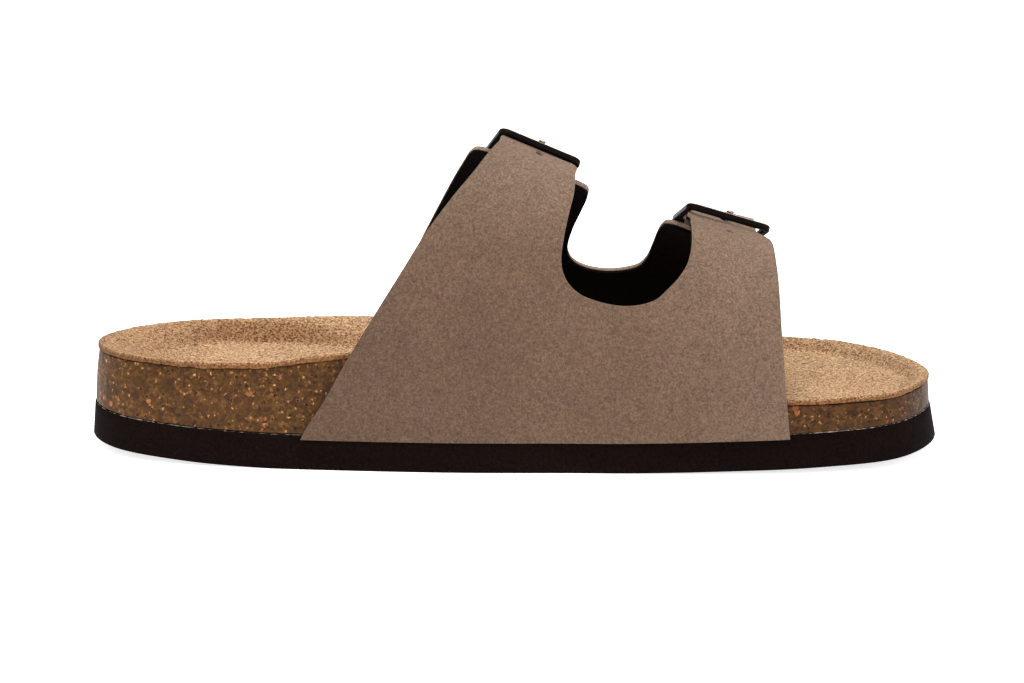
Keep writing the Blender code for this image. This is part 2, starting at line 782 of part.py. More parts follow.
def make_keeper(name, seat, across, collection):
    """A leather arch over the hinge bar, with its feet in the lateral quarter."""
    inner = BAR_WIDTH / 2 + SEAT_GAP
    outer = inner + KEEPER_WALL
    foot = -(inner + KEEPER_FOOT)
    turn = np.linspace(0.0, math.pi, 9)
    profile = [(outer * math.cos(a), outer * math.sin(a)) for a in turn]
    profile += [(-outer, foot), (-inner, foot)]
    profile += [(inner * math.cos(a), inner * math.sin(a)) for a in turn[::-1]]
    profile += [(inner, foot), (outer, foot)]
    build = bmesh.new()
    start = across - KEEPER_WIDTH / 2
    corners = [build.verts.new(seat.in_frame(start, BAR_PITCH + a, h)) for a, h in profile]
    face = build.faces.new(corners)
    made = bmesh.ops.extrude_face_region(build, geom=[face])
    shift = Vector(seat.across * KEEPER_WIDTH)
    moved = [item for item in made["geom"] if isinstance(item, bmesh.types.BMVert)]
    bmesh.ops.translate(build, vec=shift, verts=moved)
    bmesh.ops.recalc_face_normals(build, faces=build.faces)
    mesh = bpy.data.meshes.new(name)
    build.to_mesh(mesh)
    build.free()
    keeper = link_object(name, mesh, collection)
    hide_helper(keeper)


def make_upper(collection, cutters):
    """Both quarters and their straps as one leather solid, joined under the buckle tails."""
    rear, front = SEATS["rear"], SEATS["front"]
    medial_loop = np.vstack(
        [
            edge_curve(MEDIAL_REAR_EDGE),
            tongue_loop(rear),
            edge_curve(MEDIAL_NOTCH),
            tongue_loop(front),
            edge_curve(MEDIAL_FRONT_EDGE),
            base_line(
                MEDIAL_FRONT_EDGE[-1][0] * SOLE_LENGTH, MEDIAL_REAR_EDGE[0][0] * SOLE_LENGTH, 0.0
            ),
        ]
    )
    joined = bpy.data.collections.new("joined_leather")
    cutters.children.link(joined)
    medial = leather_panel(
        "medial_quarter",
        medial_loop,
        [prong_hole(rear), prong_hole(front)],
        np.vstack([tongue_points(rear), tongue_points(front)]),
        medial_height,
        joined,
    )
    hide_helper(medial)
    for name, seat in SEATS.items():
        for index, side in enumerate((-1, 1)):
            make_keeper(f"keeper_{name}_{index + 1}", seat, side * KEEPER_PLACE, joined)

    lateral_loop = np.vstack(
        [
            edge_curve(LATERAL_EDGES),
            base_line(LATERAL_EDGES[-1][0] * SOLE_LENGTH, LATERAL_EDGES[0][0] * SOLE_LENGTH, 1.0),
        ]
    )
    upper = leather_panel("upper", lateral_loop, [], [], lateral_height, collection)
    join = upper.modifiers.new("joined", "BOOLEAN")
    join.operation = "UNION"
    join.operand_type = "COLLECTION"
    join.collection = joined
    join.solver = "EXACT"
    return upper


def rounded_rectangle(half_x, half_y, radius, steps):
    """Corner points of a rectangle with round corners, centred on the origin."""
    points = []
    for quarter in range(4):
        sign_x = 1 if quarter in (0, 3) else -1
        sign_y = 1 if quarter in (0, 1) else -1
        for step in range(steps + 1):
            angle = math.pi / 2 * (quarter + step / steps)
            x = sign_x * (half_x - radius) + radius * math.cos(angle)
            y = sign_y * (half_y - radius) + radius * math.sin(angle)
            points.append((x, y))
    return points


def make_buckle_frame(name, seat, collection):
    """The flat metal frame: outer bar, two sides and the hinge bar."""
    curve = bpy.data.curves.new(name, "CURVE")
    curve.dimensions = "2D"
    curve.fill_mode = "BOTH"
    curve.bevel_depth = BAR_EDGE
    curve.bevel_resolution = 0
    curve.extrude = BAR_WIDTH / 2 - BAR_EDGE
    outer = BUCKLE_WIDTH / 2, (BAR_PITCH + BAR_WIDTH) / 2
    for inset, radius, steps in ((BAR_EDGE, 0.0024, 4), (BAR_WIDTH - BAR_EDGE, 0.0010, 2)):
        spline = curve.splines.new("POLY")
        points = rounded_rectangle(outer[0] - inset, outer[1] - inset, radius, steps)
        spline.points.add(len(points) - 1)
        for point, (x, y) in zip(spline.points, points):
            point.co = (x, y, 0.0, 1.0)
        spline.use_cyclic_u = True
    frame = link_object(name, curve, collection)
    centre = seat.in_frame(0.0, BAR_PITCH / 2, 0.0)
    axes = Matrix((seat.across, seat.along, seat.out)).transposed()
    frame.matrix_world = Matrix.Translation(Vector(centre)) @ axes.to_4x4()
    return frame


def make_prong(name, seat, collection):
    """The round prong, hooked over the hinge bar and resting on the outer bar."""
    hook = BAR_WIDTH / 2 + HOOK_GAP + PRONG_RADIUS
    rest = BAR_WIDTH / 2 + SEAT_GAP + PRONG_RADIUS
    turn = np.linspace(0.0, math.pi / 2, 6)
    path = [(BAR_PITCH + hook * math.cos(a), hook * math.sin(a)) for a in turn]
    path += [(0.5 * BAR_WIDTH, rest), (-PRONG_OVERHANG, rest)]
    curve = bpy.data.curves.new(name, "CURVE")
    curve.dimensions = "3D"
    curve.bevel_depth = PRONG_RADIUS
    curve.bevel_resolution = 2
    curve.use_fill_caps = True
    spline = curve.splines.new("POLY")
    spline.points.add(len(path) - 1)
    for point, (along, out) in zip(spline.points, path):
        point.co = (*seat.in_frame(0.0, along, out), 1.0)
    return link_object(name, curve, collection)


def give_material(target, name, colour, roughness, metallic=0.0):
    """A plain Principled material of this colour on one object."""
    material = bpy.data.materials.new(name)
    material.use_nodes = True
    shader = material.node_tree.nodes["Principled BSDF"]
    shader.inputs["Base Color"].default_value = (*colour, 1.0)
    shader.inputs["Roughness"].default_value = roughness
    shader.inputs["Metallic"].default_value = metallic
    material.diffuse_color = (*colour, 1.0)
    target.data.materials.append(material)


def centre_on_floor(pieces, root):
    """Move everything under one empty, so that the box of the pieces stands on the origin."""
    bpy.context.view_layer.update()
    graph = bpy.context.evaluated_depsgraph_get()
    corners = []
    for piece in pieces:
        seen = piece.evaluated_get(graph)
        mesh = seen.to_mesh()
        world = np.array(seen.matrix_world)
        points = np.empty(len(mesh.vertices) * 3, np.float32)
        mesh.vertices.foreach_get("co", points)
        corners.append(points.reshape(-1, 3) @ world[:3, :3].T + world[:3, 3])
        seen.to_mesh_clear()
    corners = np.vstack(corners)
    low, high = corners.min(axis=0), corners.max(axis=0)
    for item in list(bpy.data.objects):
        if item is not root:
            item.parent = root
    root.location = (-(low[0] + high[0]) / 2, -(low[1] + high[1]) / 2, -low[2])
    bpy.context.view_layer.update()


def main():
    for item in list(bpy.data.objects):
        bpy.data.objects.remove(item, do_unlink=True)
    scene = bpy.context.scene
    sandal = bpy.data.collections.new("cork_footbed_sandal")
    cutters = bpy.data.collections.new("cutters_and_joined_shapes")
    cutters.hide_render = True
    scene.collection.children.link(sandal)
    scene.collection.children.link(cutters)
    root = link_object("sandal_root", None, sandal)

    outsole = make_outsole(sandal, cutters)
    give_material(outsole, "outsole_rubber", (0.018, 0.012, 0.010), 0.75)
    footbed = make_footbed(sandal)
    give_material(footbed, "footbed_cork", (0.160, 0.095, 0.045), 0.45)
    insole = make_insole(sandal)
    give_material(insole, "insole_suede", (0.480, 0.310, 0.170), 0.95)
    upper = make_upper(sandal, cutters)
    give_material(upper, "upper_leather", (0.270, 0.190, 0.145), 0.85)
    pieces = [outsole, footbed, insole, upper]
    for name, seat in SEATS.items():
        frame = make_buckle_frame(f"buckle_frame_{name}", seat, sandal)
        give_material(frame, f"buckle_frame_{name}_metal", (0.030, 0.020, 0.016), 0.30, 0.9)
        prong = make_prong(f"buckle_prong_{name}", seat, sandal)
        give_material(prong, f"buckle_prong_{name}_metal", (0.060, 0.045, 0.038), 0.30, 0.9)
        pieces += [frame, prong]
    centre_on_floor(pieces, root)


main()
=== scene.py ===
"""Looks of the cork footbed sandal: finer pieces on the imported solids, materials, light and camera.

Metres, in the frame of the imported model. The shapes repeat the sizes and tables of the solids,
worked out in the sole's own frame, with x from the heel and y from the centre line, and are moved
by SHIFT at the end.
"""

import math

import bmesh
import bpy
import numpy as np
from mathutils import Matrix, Vector, noise
from mathutils.geometry import delaunay_2d_cdt
from mathutils.kdtree import KDTree


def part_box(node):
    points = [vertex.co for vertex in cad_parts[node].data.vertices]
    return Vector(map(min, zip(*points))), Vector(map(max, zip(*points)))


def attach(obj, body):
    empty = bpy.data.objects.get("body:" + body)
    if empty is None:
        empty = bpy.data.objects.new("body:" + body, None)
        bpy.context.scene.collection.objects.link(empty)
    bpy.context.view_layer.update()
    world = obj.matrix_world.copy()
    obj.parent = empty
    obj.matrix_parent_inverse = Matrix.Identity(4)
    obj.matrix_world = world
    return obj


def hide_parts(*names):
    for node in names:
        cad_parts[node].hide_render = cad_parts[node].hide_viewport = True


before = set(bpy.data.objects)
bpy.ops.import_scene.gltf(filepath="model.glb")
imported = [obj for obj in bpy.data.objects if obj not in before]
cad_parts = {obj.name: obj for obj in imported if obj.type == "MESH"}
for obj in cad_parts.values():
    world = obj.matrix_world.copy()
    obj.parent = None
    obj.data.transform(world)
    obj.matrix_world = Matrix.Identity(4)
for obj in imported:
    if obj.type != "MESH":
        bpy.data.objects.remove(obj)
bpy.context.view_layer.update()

# Sole
SOLE_LENGTH = 0.270
BALL_WIDTH = 0.096
OUTSOLE_THICKNESS = 0.011
OUTSOLE_FLARE = 0.0009
TOE_FLARE = 0.0020
TOE_TURN = 0.86
HEEL_RISE = 0.00345
TOE_SPRING = 0.00375
RISE_POWER = 1.25
FLAT_START = 0.222 * SOLE_LENGTH
FLAT_END = 0.615 * SOLE_LENGTH
GROOVE_WIDTH = 0.003
GROOVE_DEPTH = 0.0016
GROOVE_PITCH = 0.009
GROOVE_EDGE = 0.008

# Footbed and insole
HEEL_HEIGHT = 0.0198
CORK_LEDGE = 0.0003
CORK_TAPER = 0.0016
TOE_TAPER = 0.0005
INSOLE_THICKNESS = 0.0017
PAD_HEIGHT = 0.0030
TOE_BAR_HEIGHT = 0.0020

# Leather
INSTEP_HEIGHT = 0.095
LEATHER = 0.0025
LINING = 0.0011
LEATHER_SKIRT = 0.0008
STRAP_RISE = 0.0033
STRAP_WIDTH = 0.026
TONGUE_WIDTH = 0.021
TONGUE_SINK = 0.0005
HOLE_WIDTH = 0.0026
HOLE_LENGTH = 0.0086
SHOULDER = 0.0014
STRAP_HOLE = 0.0024
EDGE_ROUND = 0.00035

# Buckles
BAR_WIDTH = 0.0021
BAR_EDGE = 0.0005
BUCKLE_WIDTH = 0.028
BAR_PITCH = 0.020
PRONG_RADIUS = 0.00065
KEEPER_WALL = 0.0013
KEEPER_WIDTH = 0.006
KEEPER_PLACE = 0.0068
KEEPER_FOOT = 0.0018
SEAT_GAP = 0.0003
SIDE_GAP = 0.0004
BAR_GAP = 0.0004
HOOK_GAP = 0.0004

# Mesh fineness
AROUND = 640
PANEL_STEP = 0.0017
EDGE_STEP = 0.0012
TONGUE_STEP = 0.0012

SOLE_OUTLINE = (
    (0.000, -0.008),
    (0.030, -0.182),
    (0.115, -0.292),
    (0.220, -0.342),
    (0.420, -0.403),
    (0.580, -0.420),
    (0.725, -0.444),
    (0.850, -0.445),
    (0.950, -0.376),
    (1.000, -0.140),
    (0.974, 0.122),
    (0.903, 0.342),
    (0.800, 0.455),
    (0.680, 0.506),
    (0.520, 0.440),
    (0.360, 0.394),
    (0.220, 0.370),
    (0.115, 0.323),
    (0.030, 0.168),
)

# Along, medial rim, lateral rim, floor, medial run, lateral run
FOOTBED_SECTIONS = (
    (0.000, 1.000, 1.000, 0.745, 0.230, 0.230),
    (0.074, 1.035, 1.035, 0.735, 0.135, 0.135),
    (0.148, 1.085, 1.060, 0.730, 0.090, 0.090),
    (0.222, 1.175, 1.090, 0.730, 0.118, 0.112),
    (0.296, 1.330, 1.090, 0.730, 0.185, 0.190),
    (0.415, 1.440, 1.010, 0.725, 0.240, 0.200),
    (0.556, 1.210, 0.810, 0.645, 0.215, 0.160),
    (0.704, 0.760, 0.630, 0.475, 0.105, 0.095),
    (0.826, 0.545, 0.545, 0.372, 0.064, 0.064),
    (1.000, 0.505, 0.505, 0.338, 0.078, 0.078),
)
SPINE_INSET = 0.16
WALL_POWER = 1.5
WALL_ROUND = 0.28

# Along, height, across
RIDGE = (
    (0.2235, 1.300, -0.031),
    (0.3715, 1.140, -0.031),
    (0.4905, 0.992, -0.042),
    (0.5345, 0.936, -0.042),
    (0.5795, 0.880, -0.042),
    (0.7125, 0.727, -0.052),
    (0.7575, 0.687, -0.062),
    (0.8015, 0.645, -0.062),
    (0.8715, 0.590, -0.073),
)
MEDIAL_FULLNESS = (2.3, 2.0)
LATERAL_FULLNESS = (2.4, 1.5)

# Edges of the quarters: share of the length, round
MEDIAL_REAR_EDGE = (
    (0.2545, 0.000),
    (0.2815, 0.026),
    (0.3075, 0.062),
    (0.3365, 0.107),
    (0.3715, 0.170),
    (0.3995, 0.230),
    (0.429, 0.295),
    (0.456, 0.365),
    (0.478, 0.456),
    (0.4815, 0.482),
)
MEDIAL_NOTCH = (
    (0.569, 0.482),
    (0.5675, 0.458),
    (0.5665, 0.390),
    (0.5625, 0.345),
    (0.5575, 0.290),
    (0.5555, 0.255),
    (0.5575, 0.234),
    (0.5645, 0.217),
    (0.5775, 0.205),
    (0.5975, 0.200),
    (0.6145, 0.200),
    (0.6295, 0.203),
    (0.6475, 0.212),
    (0.6645, 0.228),
    (0.6775, 0.253),
    (0.6905, 0.285),
    (0.6995, 0.320),
    (0.7035, 0.357),
    (0.7045, 0.403),
    (0.7035, 0.465),
    (0.7035, 0.482),
)
MEDIAL_FRONT_EDGE = (
    (0.7965, 0.482),
    (0.7988, 0.462),
    (0.8014, 0.410),
    (0.8045, 0.350),
    (0.807, 0.280),
    (0.809, 0.215),
    (0.8115, 0.147),
    (0.8145, 0.065),
    (0.8185, 0.000),
)
LATERAL_EDGES = (
    (0.2975, 1.000),
    (0.3195, 0.970),
    (0.3405, 0.940),
    (0.3555, 0.915),
    (0.37, 0.885),
    (0.3795, 0.865),
    (0.3955, 0.815),
    (0.4105, 0.765),
    (0.4275, 0.705),
    (0.4425, 0.648),
    (0.4505, 0.612),
    (0.4575, 0.592),
    (0.4675, 0.583),
    (0.4815, 0.580),
    (0.5215, 0.578),
    (0.5615, 0.565),
    (0.5775, 0.557),
    (0.587, 0.568),
    (0.5895, 0.605),
    (0.583, 0.665),
    (0.5735, 0.725),
    (0.5685, 0.768),
    (0.5685, 0.793),
    (0.5745, 0.813),
    (0.5885, 0.825),
    (0.6065, 0.828),
    (0.6215, 0.825),
    (0.6385, 0.815),
    (0.6535, 0.798),
    (0.6625, 0.768),
    (0.6685, 0.718),
    (0.6725, 0.670),
    (0.6765, 0.630),
    (0.6825, 0.599),
    (0.6935, 0.586),
    (0.7095, 0.588),
    (0.7465, 0.588),
    (0.7835, 0.588),
    (0.7965, 0.594),
    (0.8035, 0.612),
    (0.8055, 0.660),
    (0.8055, 0.740),
    (0.8055, 0.820),
    (0.8055, 0.890),
    (0.8065, 0.950),
    (0.8085, 1.000),
)

# Place, slack, tail, turn, and where the strap's holes lie past the ridge
BUCKLES = {
    "rear": (0.5240, 0.0000, 0.038, 3.0),
    "front": (0.7465, 0.0009, 0.032, 8.0),
}
STRAP_HOLES = {"rear": (-0.0022, 0.0085, 0.0200, 0.0310), "front": (-0.0060, 0.0085, 0.0200)}
NOTCH_MIDDLE = 0.63 * SOLE_LENGTH
CLIMB_START, CLIMB_END, HOLE_MIDDLE = 0.09, 0.72, 0.46
FALL_START, FALL_END = 0.10, 0.46
RISE_FROM, RISE_TO = 0.12, 0.40
GIRTH = 2.0 * INSTEP_HEIGHT
# How far the leather is drawn up under the rear and the front bar
SNUG = (0.00034, 0.00022)


# Shape functions, as in the solids


def smooth_step(value):
    value = np.clip(value, 0.0, 1.0)
    return value * value * (3.0 - 2.0 * value)


def smooth_curve(points, step, closed=False):
    points = np.array(points, float)
    count = len(points)
    if closed:
        padded = np.vstack([points[-1:], points, points[:2]])
        spans = count
    else:
        padded = np.vstack([2 * points[0] - points[1], points, 2 * points[-1] - points[-2]])
        spans = count - 1
    found = []
    for span in range(spans):
        p0, p1, p2, p3 = padded[span : span + 4]
        t1 = math.sqrt(np.linalg.norm(p1 - p0))
        t2 = t1 + math.sqrt(np.linalg.norm(p2 - p1))
        t3 = t2 + math.sqrt(np.linalg.norm(p3 - p2))
        pieces = max(1, math.ceil(np.linalg.norm(p2 - p1) / step))
        for t in np.linspace(t1, t2, pieces, endpoint=False):
            a1 = ((t1 - t) * p0 + t * p1) / t1
            a2 = ((t2 - t) * p1 + (t - t1) * p2) / (t2 - t1)
            a3 = ((t3 - t) * p2 + (t - t2) * p3) / (t3 - t2)
            b1 = ((t2 - t) * a1 + t * a2) / t2
            b2 = ((t3 - t) * a2 + (t - t1) * a3) / (t3 - t1)
            found.append(((t2 - t) * b1 + (t - t1) * b2) / (t2 - t1))
    if not closed:
        found.append(points[-1])
    return np.array(found)


def sole_sides():
    points = smooth_curve(np.array(SOLE_OUTLINE) * (SOLE_LENGTH, BALL_WIDTH), 0.002, closed=True)
    heel = points[:, 0].argmin()
    points = np.roll(points, -heel, axis=0)
    points[:, 0] -= points[0, 0]
    toe = points[:, 0].argmax()
    points[:, 0] *= SOLE_LENGTH / points[toe, 0]
    medial = points[: toe + 1]
    lateral = np.vstack([points[toe:], points[:1]])[::-1]
    return medial, lateral


MEDIAL_SIDE, LATERAL_SIDE = sole_sides()
SOLE_LOW, SOLE_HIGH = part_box("outsole")
SHIFT = np.array(
    [
        SOLE_LOW.x,
        (SOLE_LOW.y + SOLE_HIGH.y - MEDIAL_SIDE[:, 1].min() - LATERAL_SIDE[:, 1].max()) / 2,
        0.0,
    ]
)


def station_outline(flare=0.0, taper=0.0, ledge=0.0):
    angles = 2 * math.pi * np.arange(AROUND) / AROUND
    x = SOLE_LENGTH * (1 - np.cos(angles)) / 2
    medial = np.interp(x, MEDIAL_SIDE[:, 0], MEDIAL_SIDE[:, 1])
    lateral = np.interp(x, LATERAL_SIDE[:, 0], LATERAL_SIDE[:, 1])
    points = np.column_stack([x, np.where(angles < math.pi, medial, lateral)])
    # An even walk round the outline keeps the corners at heel and toe smooth.
    for _ in range(3):
        points = (np.roll(points, 1, axis=0) + 2 * points + np.roll(points, -1, axis=0)) / 4
    along = np.roll(points, -1, axis=0) - np.roll(points, 1, axis=0)
    along /= np.linalg.norm(along, axis=1, keepdims=True)
    inward = np.column_stack([-along[:, 1], along[:, 0]])
    for _ in range(4):
        inward = (np.roll(inward, 1, axis=0) + 2 * inward + np.roll(inward, -1, axis=0)) / 4
        inward /= np.linalg.norm(inward, axis=1, keepdims=True)
    toe = smooth_step((x / SOLE_LENGTH - TOE_TURN) / (1 - TOE_TURN))
    inset = flare * (OUTSOLE_FLARE + (TOE_FLARE - OUTSOLE_FLARE) * toe)
    inset += taper * (CORK_TAPER + (TOE_TAPER - CORK_TAPER) * toe) + ledge
    return points + inset[:, None] * inward


def station_spine():
    angles = 2 * math.pi * np.arange(AROUND) / AROUND
    share = SPINE_INSET + (1 - 2 * SPINE_INSET) * (1 - np.cos(angles)) / 2
    x = SOLE_LENGTH * share
    medial = np.interp(x, MEDIAL_SIDE[:, 0], MEDIAL_SIDE[:, 1])
    lateral = np.interp(x, LATERAL_SIDE[:, 0], LATERAL_SIDE[:, 1])
    return np.column_stack([x, (medial + lateral) / 2])


def lift(x):
    heel = np.clip((FLAT_START - x) / FLAT_START, 0.0, None) ** RISE_POWER
    toe = np.clip((x - FLAT_END) / (SOLE_LENGTH - FLAT_END), 0.0, None) ** RISE_POWER
    return HEEL_RISE * heel + TOE_SPRING * toe


def section_value(x, column):
    table = np.array(FOOTBED_SECTIONS)
    curve = smooth_curve(table[:, (0, column)], 0.01)
    return np.interp(x / SOLE_LENGTH, curve[:, 0], curve[:, 1])


MEDIAL_HALF = np.arange(AROUND) < AROUND / 2


def bed_run(edge):
    run = np.where(MEDIAL_HALF, section_value(edge[:, 0], 4), section_value(edge[:, 0], 5))
    return run * BALL_WIDTH


def foot_share(reach):
    steep = reach**WALL_POWER
    blend = np.clip(0.5 + 0.5 * (1 - steep) / WALL_ROUND, 0.0, 1.0)
    return (1 - steep) * blend + WALL_ROUND * blend * (1 - blend)


def bed_shape(points, edge, depth):
    x, y = points[:, 0], points[:, 1]
    rim = np.where(MEDIAL_HALF, section_value(edge[:, 0], 1), section_value(edge[:, 0], 2))
    floor = section_value(x, 3)
    wall = foot_share(depth / bed_run(edge))
    height = HEEL_HEIGHT * (floor + (rim - floor) * wall)
    inside = smooth_step(depth / (0.10 * BALL_WIDTH))
    along, across = x / SOLE_LENGTH, y / BALL_WIDTH
    pad = np.exp(-(((along - 0.60) / 0.065) ** 2) - ((across + 0.02) / 0.17) ** 2)
    bar = np.exp(-(((along - 0.815 + 0.10 * across) / 0.026) ** 2))
    return height + inside * (PAD_HEIGHT * pad + TOE_BAR_HEIGHT * bar)


def last_point(x, round_place):
    x, place = np.broadcast_arrays(np.asarray(x, float), np.asarray(round_place, float))
    ridge = np.array(RIDGE)
    ridge_z = INSTEP_HEIGHT * np.interp(x / SOLE_LENGTH, ridge[:, 0], ridge[:, 1])
    ridge_y = BALL_WIDTH * np.interp(x / SOLE_LENGTH, ridge[:, 0], ridge[:, 2])
    medial_y = np.interp(x, MEDIAL_SIDE[:, 0], MEDIAL_SIDE[:, 1]) + OUTSOLE_FLARE - SIDE_GAP
    lateral_y = np.interp(x, LATERAL_SIDE[:, 0], LATERAL_SIDE[:, 1]) - OUTSOLE_FLARE + SIDE_GAP
    base_z = lift(x) + OUTSOLE_THICKNESS - LEATHER_SKIRT
    cosine, sine = np.cos(math.pi * place), np.sin(math.pi * place)
    blend = smooth_step(np.abs(sine))
    medial_power = MEDIAL_FULLNESS[0] + (MEDIAL_FULLNESS[1] - MEDIAL_FULLNESS[0]) * blend
    lateral_power = LATERAL_FULLNESS[0] + (LATERAL_FULLNESS[1] - LATERAL_FULLNESS[0]) * blend
    medial = place < 0.5
    power = 2.0 / np.where(medial, medial_power, lateral_power)
    half = np.where(medial, ridge_y - medial_y, lateral_y - ridge_y)
    y = ridge_y - np.sign(cosine) * half * np.abs(cosine) ** power
    z = base_z + (ridge_z - base_z) * np.abs(sine) ** power
    return np.stack([x, y, z], axis=-1)


def last_normal(x, round_place):
    step_x, step_round = 0.0005, 0.001
    place = np.clip(round_place, 0.002, 0.998)
    along = last_point(x + step_x, place) - last_point(x - step_x, place)
    across = last_point(x, place + step_round) - last_point(x, place - step_round)
    normal = np.cross(along, across)
    return normal / np.linalg.norm(normal, axis=-1, keepdims=True)


def off_last(x, round_place, height):
    height = np.asarray(height, float)
    return last_point(x, round_place) + last_normal(x, round_place) * height[..., None]


class StrapSeat:
    """Where one strap crosses the ridge: its bar, its frame's axes and its centre line."""

    def __init__(self, place, slack, tail, turn):
        self.x = place * SOLE_LENGTH
        self.tail = tail
        self.origin = last_point(self.x, 0.5)
        span = last_point(self.x + 0.01, 0.5) - last_point(self.x - 0.01, 0.5)
        span /= np.linalg.norm(span)
        side = np.cross(last_normal(self.x, 0.5), span)
        turn = math.radians(turn)
        self.across = math.cos(turn) * span + math.sin(turn) * side
        self.round = np.linspace(0.45, 0.98, 400)
        self.line_x = self.solve_x(self.round, 0.0)
        line = last_point(self.line_x, self.round)
        steps = np.linalg.norm(np.diff(line, axis=0), axis=1)
        self.length = np.concatenate([[0.0], np.cumsum(steps)])
        self.length -= np.interp(0.5, self.round, self.length)
        bar_seat = STRAP_RISE + LEATHER + BAR_GAP + BAR_WIDTH / 2 + slack
        self.bar = off_last(self.x, 0.5, bar_seat)
        self.lay_frame(line)

    def lay_frame(self, line):
        sides = np.linspace(-0.5, 0.5, 9) * BUCKLE_WIDTH
        place, across = np.meshgrid(np.linspace(0.58, 0.72, 40), sides, indexing="ij")
        under = off_last(self.solve_x(place, across), place, np.full(place.shape, LEATHER))
        seat = BAR_WIDTH / 2 + SEAT_GAP
        up = np.cross(self.across, (0.0, 1.0, 0.0))
        up /= np.linalg.norm(up)
        flat = np.cross(up, self.across)
        rest = (under - self.bar).reshape(-1, 3)
        reach, height = rest @ flat, rest @ up
        span = np.hypot(reach, height)
        near = (span > 0.3 * BAR_PITCH) & (span < BAR_PITCH + BAR_WIDTH)
        angle = np.arctan2(height, reach) + np.arcsin(seat / span.clip(2 * seat))
        dip = angle[near].max()
        self.along = math.cos(dip) * flat + math.sin(dip) * up
        self.out = np.cross(self.across, self.along)
        where = (line - self.bar) @ self.along
        self.hinge = np.interp(BAR_PITCH, where, self.length)

    def solve_x(self, place, across):
        x = np.full(np.shape(place), self.x) + across * self.across[0]
        for _ in range(12):
            off = (last_point(x, place) - self.origin) @ self.across - across
            x = x - off / self.across[0]
        return x

    def pattern(self, along, across):
        place = np.interp(along, self.length, self.round)
        x = self.solve_x(place, across)
        for _ in range(8):
            leather = off_last(x, place, medial_height(x, place))
            x = x - ((leather - self.bar) @ self.across - across) / self.across[0]
        return np.column_stack([x, place])

    def in_frame(self, across, along, out):
        return self.bar + self.across * across + self.along * along + self.out * out


SEATS = {name: StrapSeat(*row) for name, row in BUCKLES.items()}


def medial_height(x, place):
    low = LEATHER + STRAP_RISE * smooth_step((place - RISE_FROM) / (RISE_TO - RISE_FROM))
    over_prong = BAR_WIDTH / 2 + HOOK_GAP + 2 * PRONG_RADIUS + SEAT_GAP + LEATHER
    lying = LEATHER - TONGUE_SINK + LEATHER
    share, past, drop = [], [], []
    for seat in (SEATS["rear"], SEATS["front"]):
        along = np.interp(place, seat.round, seat.length)
        share.append(along / seat.hinge)
        past.append((along - seat.hinge) / BAR_PITCH)
        drop.append((seat.bar - last_point(x, place)) @ seat.out)
    share = np.where(x < NOTCH_MIDDLE, *share)
    past = np.where(x < NOTCH_MIDDLE, *past)
    high = over_prong + np.where(x < NOTCH_MIDDLE, *drop)
    climb = smooth_step((share - CLIMB_START) / (CLIMB_END - CLIMB_START))
    fall = smooth_step((past - FALL_START) / (FALL_END - FALL_START))
    tongue = LEATHER + STRAP_RISE + (high - LEATHER - STRAP_RISE) * climb
    tongue = tongue + (lying - tongue) * fall
    snug = np.where(x < NOTCH_MIDDLE, *SNUG) * np.exp(-(((place - 0.497) / 0.022) ** 2))
    return np.where(place < 0.5, low, tongue) + snug


def lateral_height(x, place):
    return np.full(np.shape(place), LEATHER)


# Mesh helpers


def link(name, data):
    made = bpy.data.objects.new(name, data)
    bpy.context.scene.collection.objects.link(made)
    return made


def mesh_object(name, points, faces, materials, face_materials=None, smooth=40.0):
    """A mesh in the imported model's frame. Points come in the sole's own frame."""
    mesh = bpy.data.meshes.new(name)
    mesh.from_pydata((np.asarray(points) + SHIFT).tolist(), [], faces)
    for material in materials:
        mesh.materials.append(material)
    if face_materials is not None:
        mesh.polygons.foreach_set("material_index", np.asarray(face_materials, np.int32))
    mesh.shade_smooth()
    mesh.set_sharp_from_angle(angle=math.radians(smooth))
    mesh.update()
    return link(name, mesh)


def ride(piece, slot, *nodes):
    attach(piece, "root")
    if nodes:
        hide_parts(*nodes)
    return piece


def noise_field(points, size, seed, detail=3):
    """Smooth noise between about -1 and 1 at these points, with features of about this size."""
    shift = Vector((seed * 7.31, seed * 3.17, seed * 5.77))
    found = [noise.fractal(Vector(p) / size + shift, 0.8, 2.0, detail) for p in points]
    return np.array(found)


def shell(rings):
    """Faces of a closed skin over rings of AROUND points; the first and last are spines."""
    points, index = [], []
    for level, ring in enumerate(rings):
        row = np.arange(AROUND)
        if level in (0, len(rings) - 1):
            row = np.minimum(row, AROUND - row)
            index.append(len(points) + row)
            points.extend(ring[: AROUND // 2 + 1])
        else:
            index.append(len(points) + row)
            points.extend(ring)
    faces, level_of = [], []
    for level, (low, high) in enumerate(zip(index[:-1], index[1:])):
        for at in range(AROUND):
            after = (at + 1) % AROUND
            corners = [low[at], low[after], high[after], high[at]]
            corners = [c for k, c in enumerate(corners) if c not in corners[:k]]
            if len(corners) > 2:
                faces.append([int(c) for c in corners])
                level_of.append(level)
    return np.array(points), faces, np.array(level_of)


def rings_in(edge, depths, height_of, beyond=6):
    """Rings at these depths in from an edge, then evenly on to the spine."""
    spine = station_spine()
    reach = np.linalg.norm(spine - edge, axis=1)
    rings = []
    for depth in depths:
        points = edge + (spine - edge) * (depth / reach)[:, None]
        rings.append(np.column_stack([points, height_of(points, np.full(AROUND, depth))]))
    last = depths[-1]
    for step in range(1, beyond + 1):
        depth = last + (reach - last) * step / beyond
        points = edge + (spine - edge) * (depth / reach)[:, None]
        rings.append(np.column_stack([points, height_of(points, depth)]))
    return rings


# Materials


def new_material(name):
    material = bpy.data.materials.new(name)
    material.use_nodes = True
    tree = material.node_tree
    return material, tree, tree.nodes["Principled BSDF"]


def add(tree, kind, **settings):
    node = tree.nodes.new(kind)
    for key, value in settings.items():
        setattr(node, key, value)
    return node


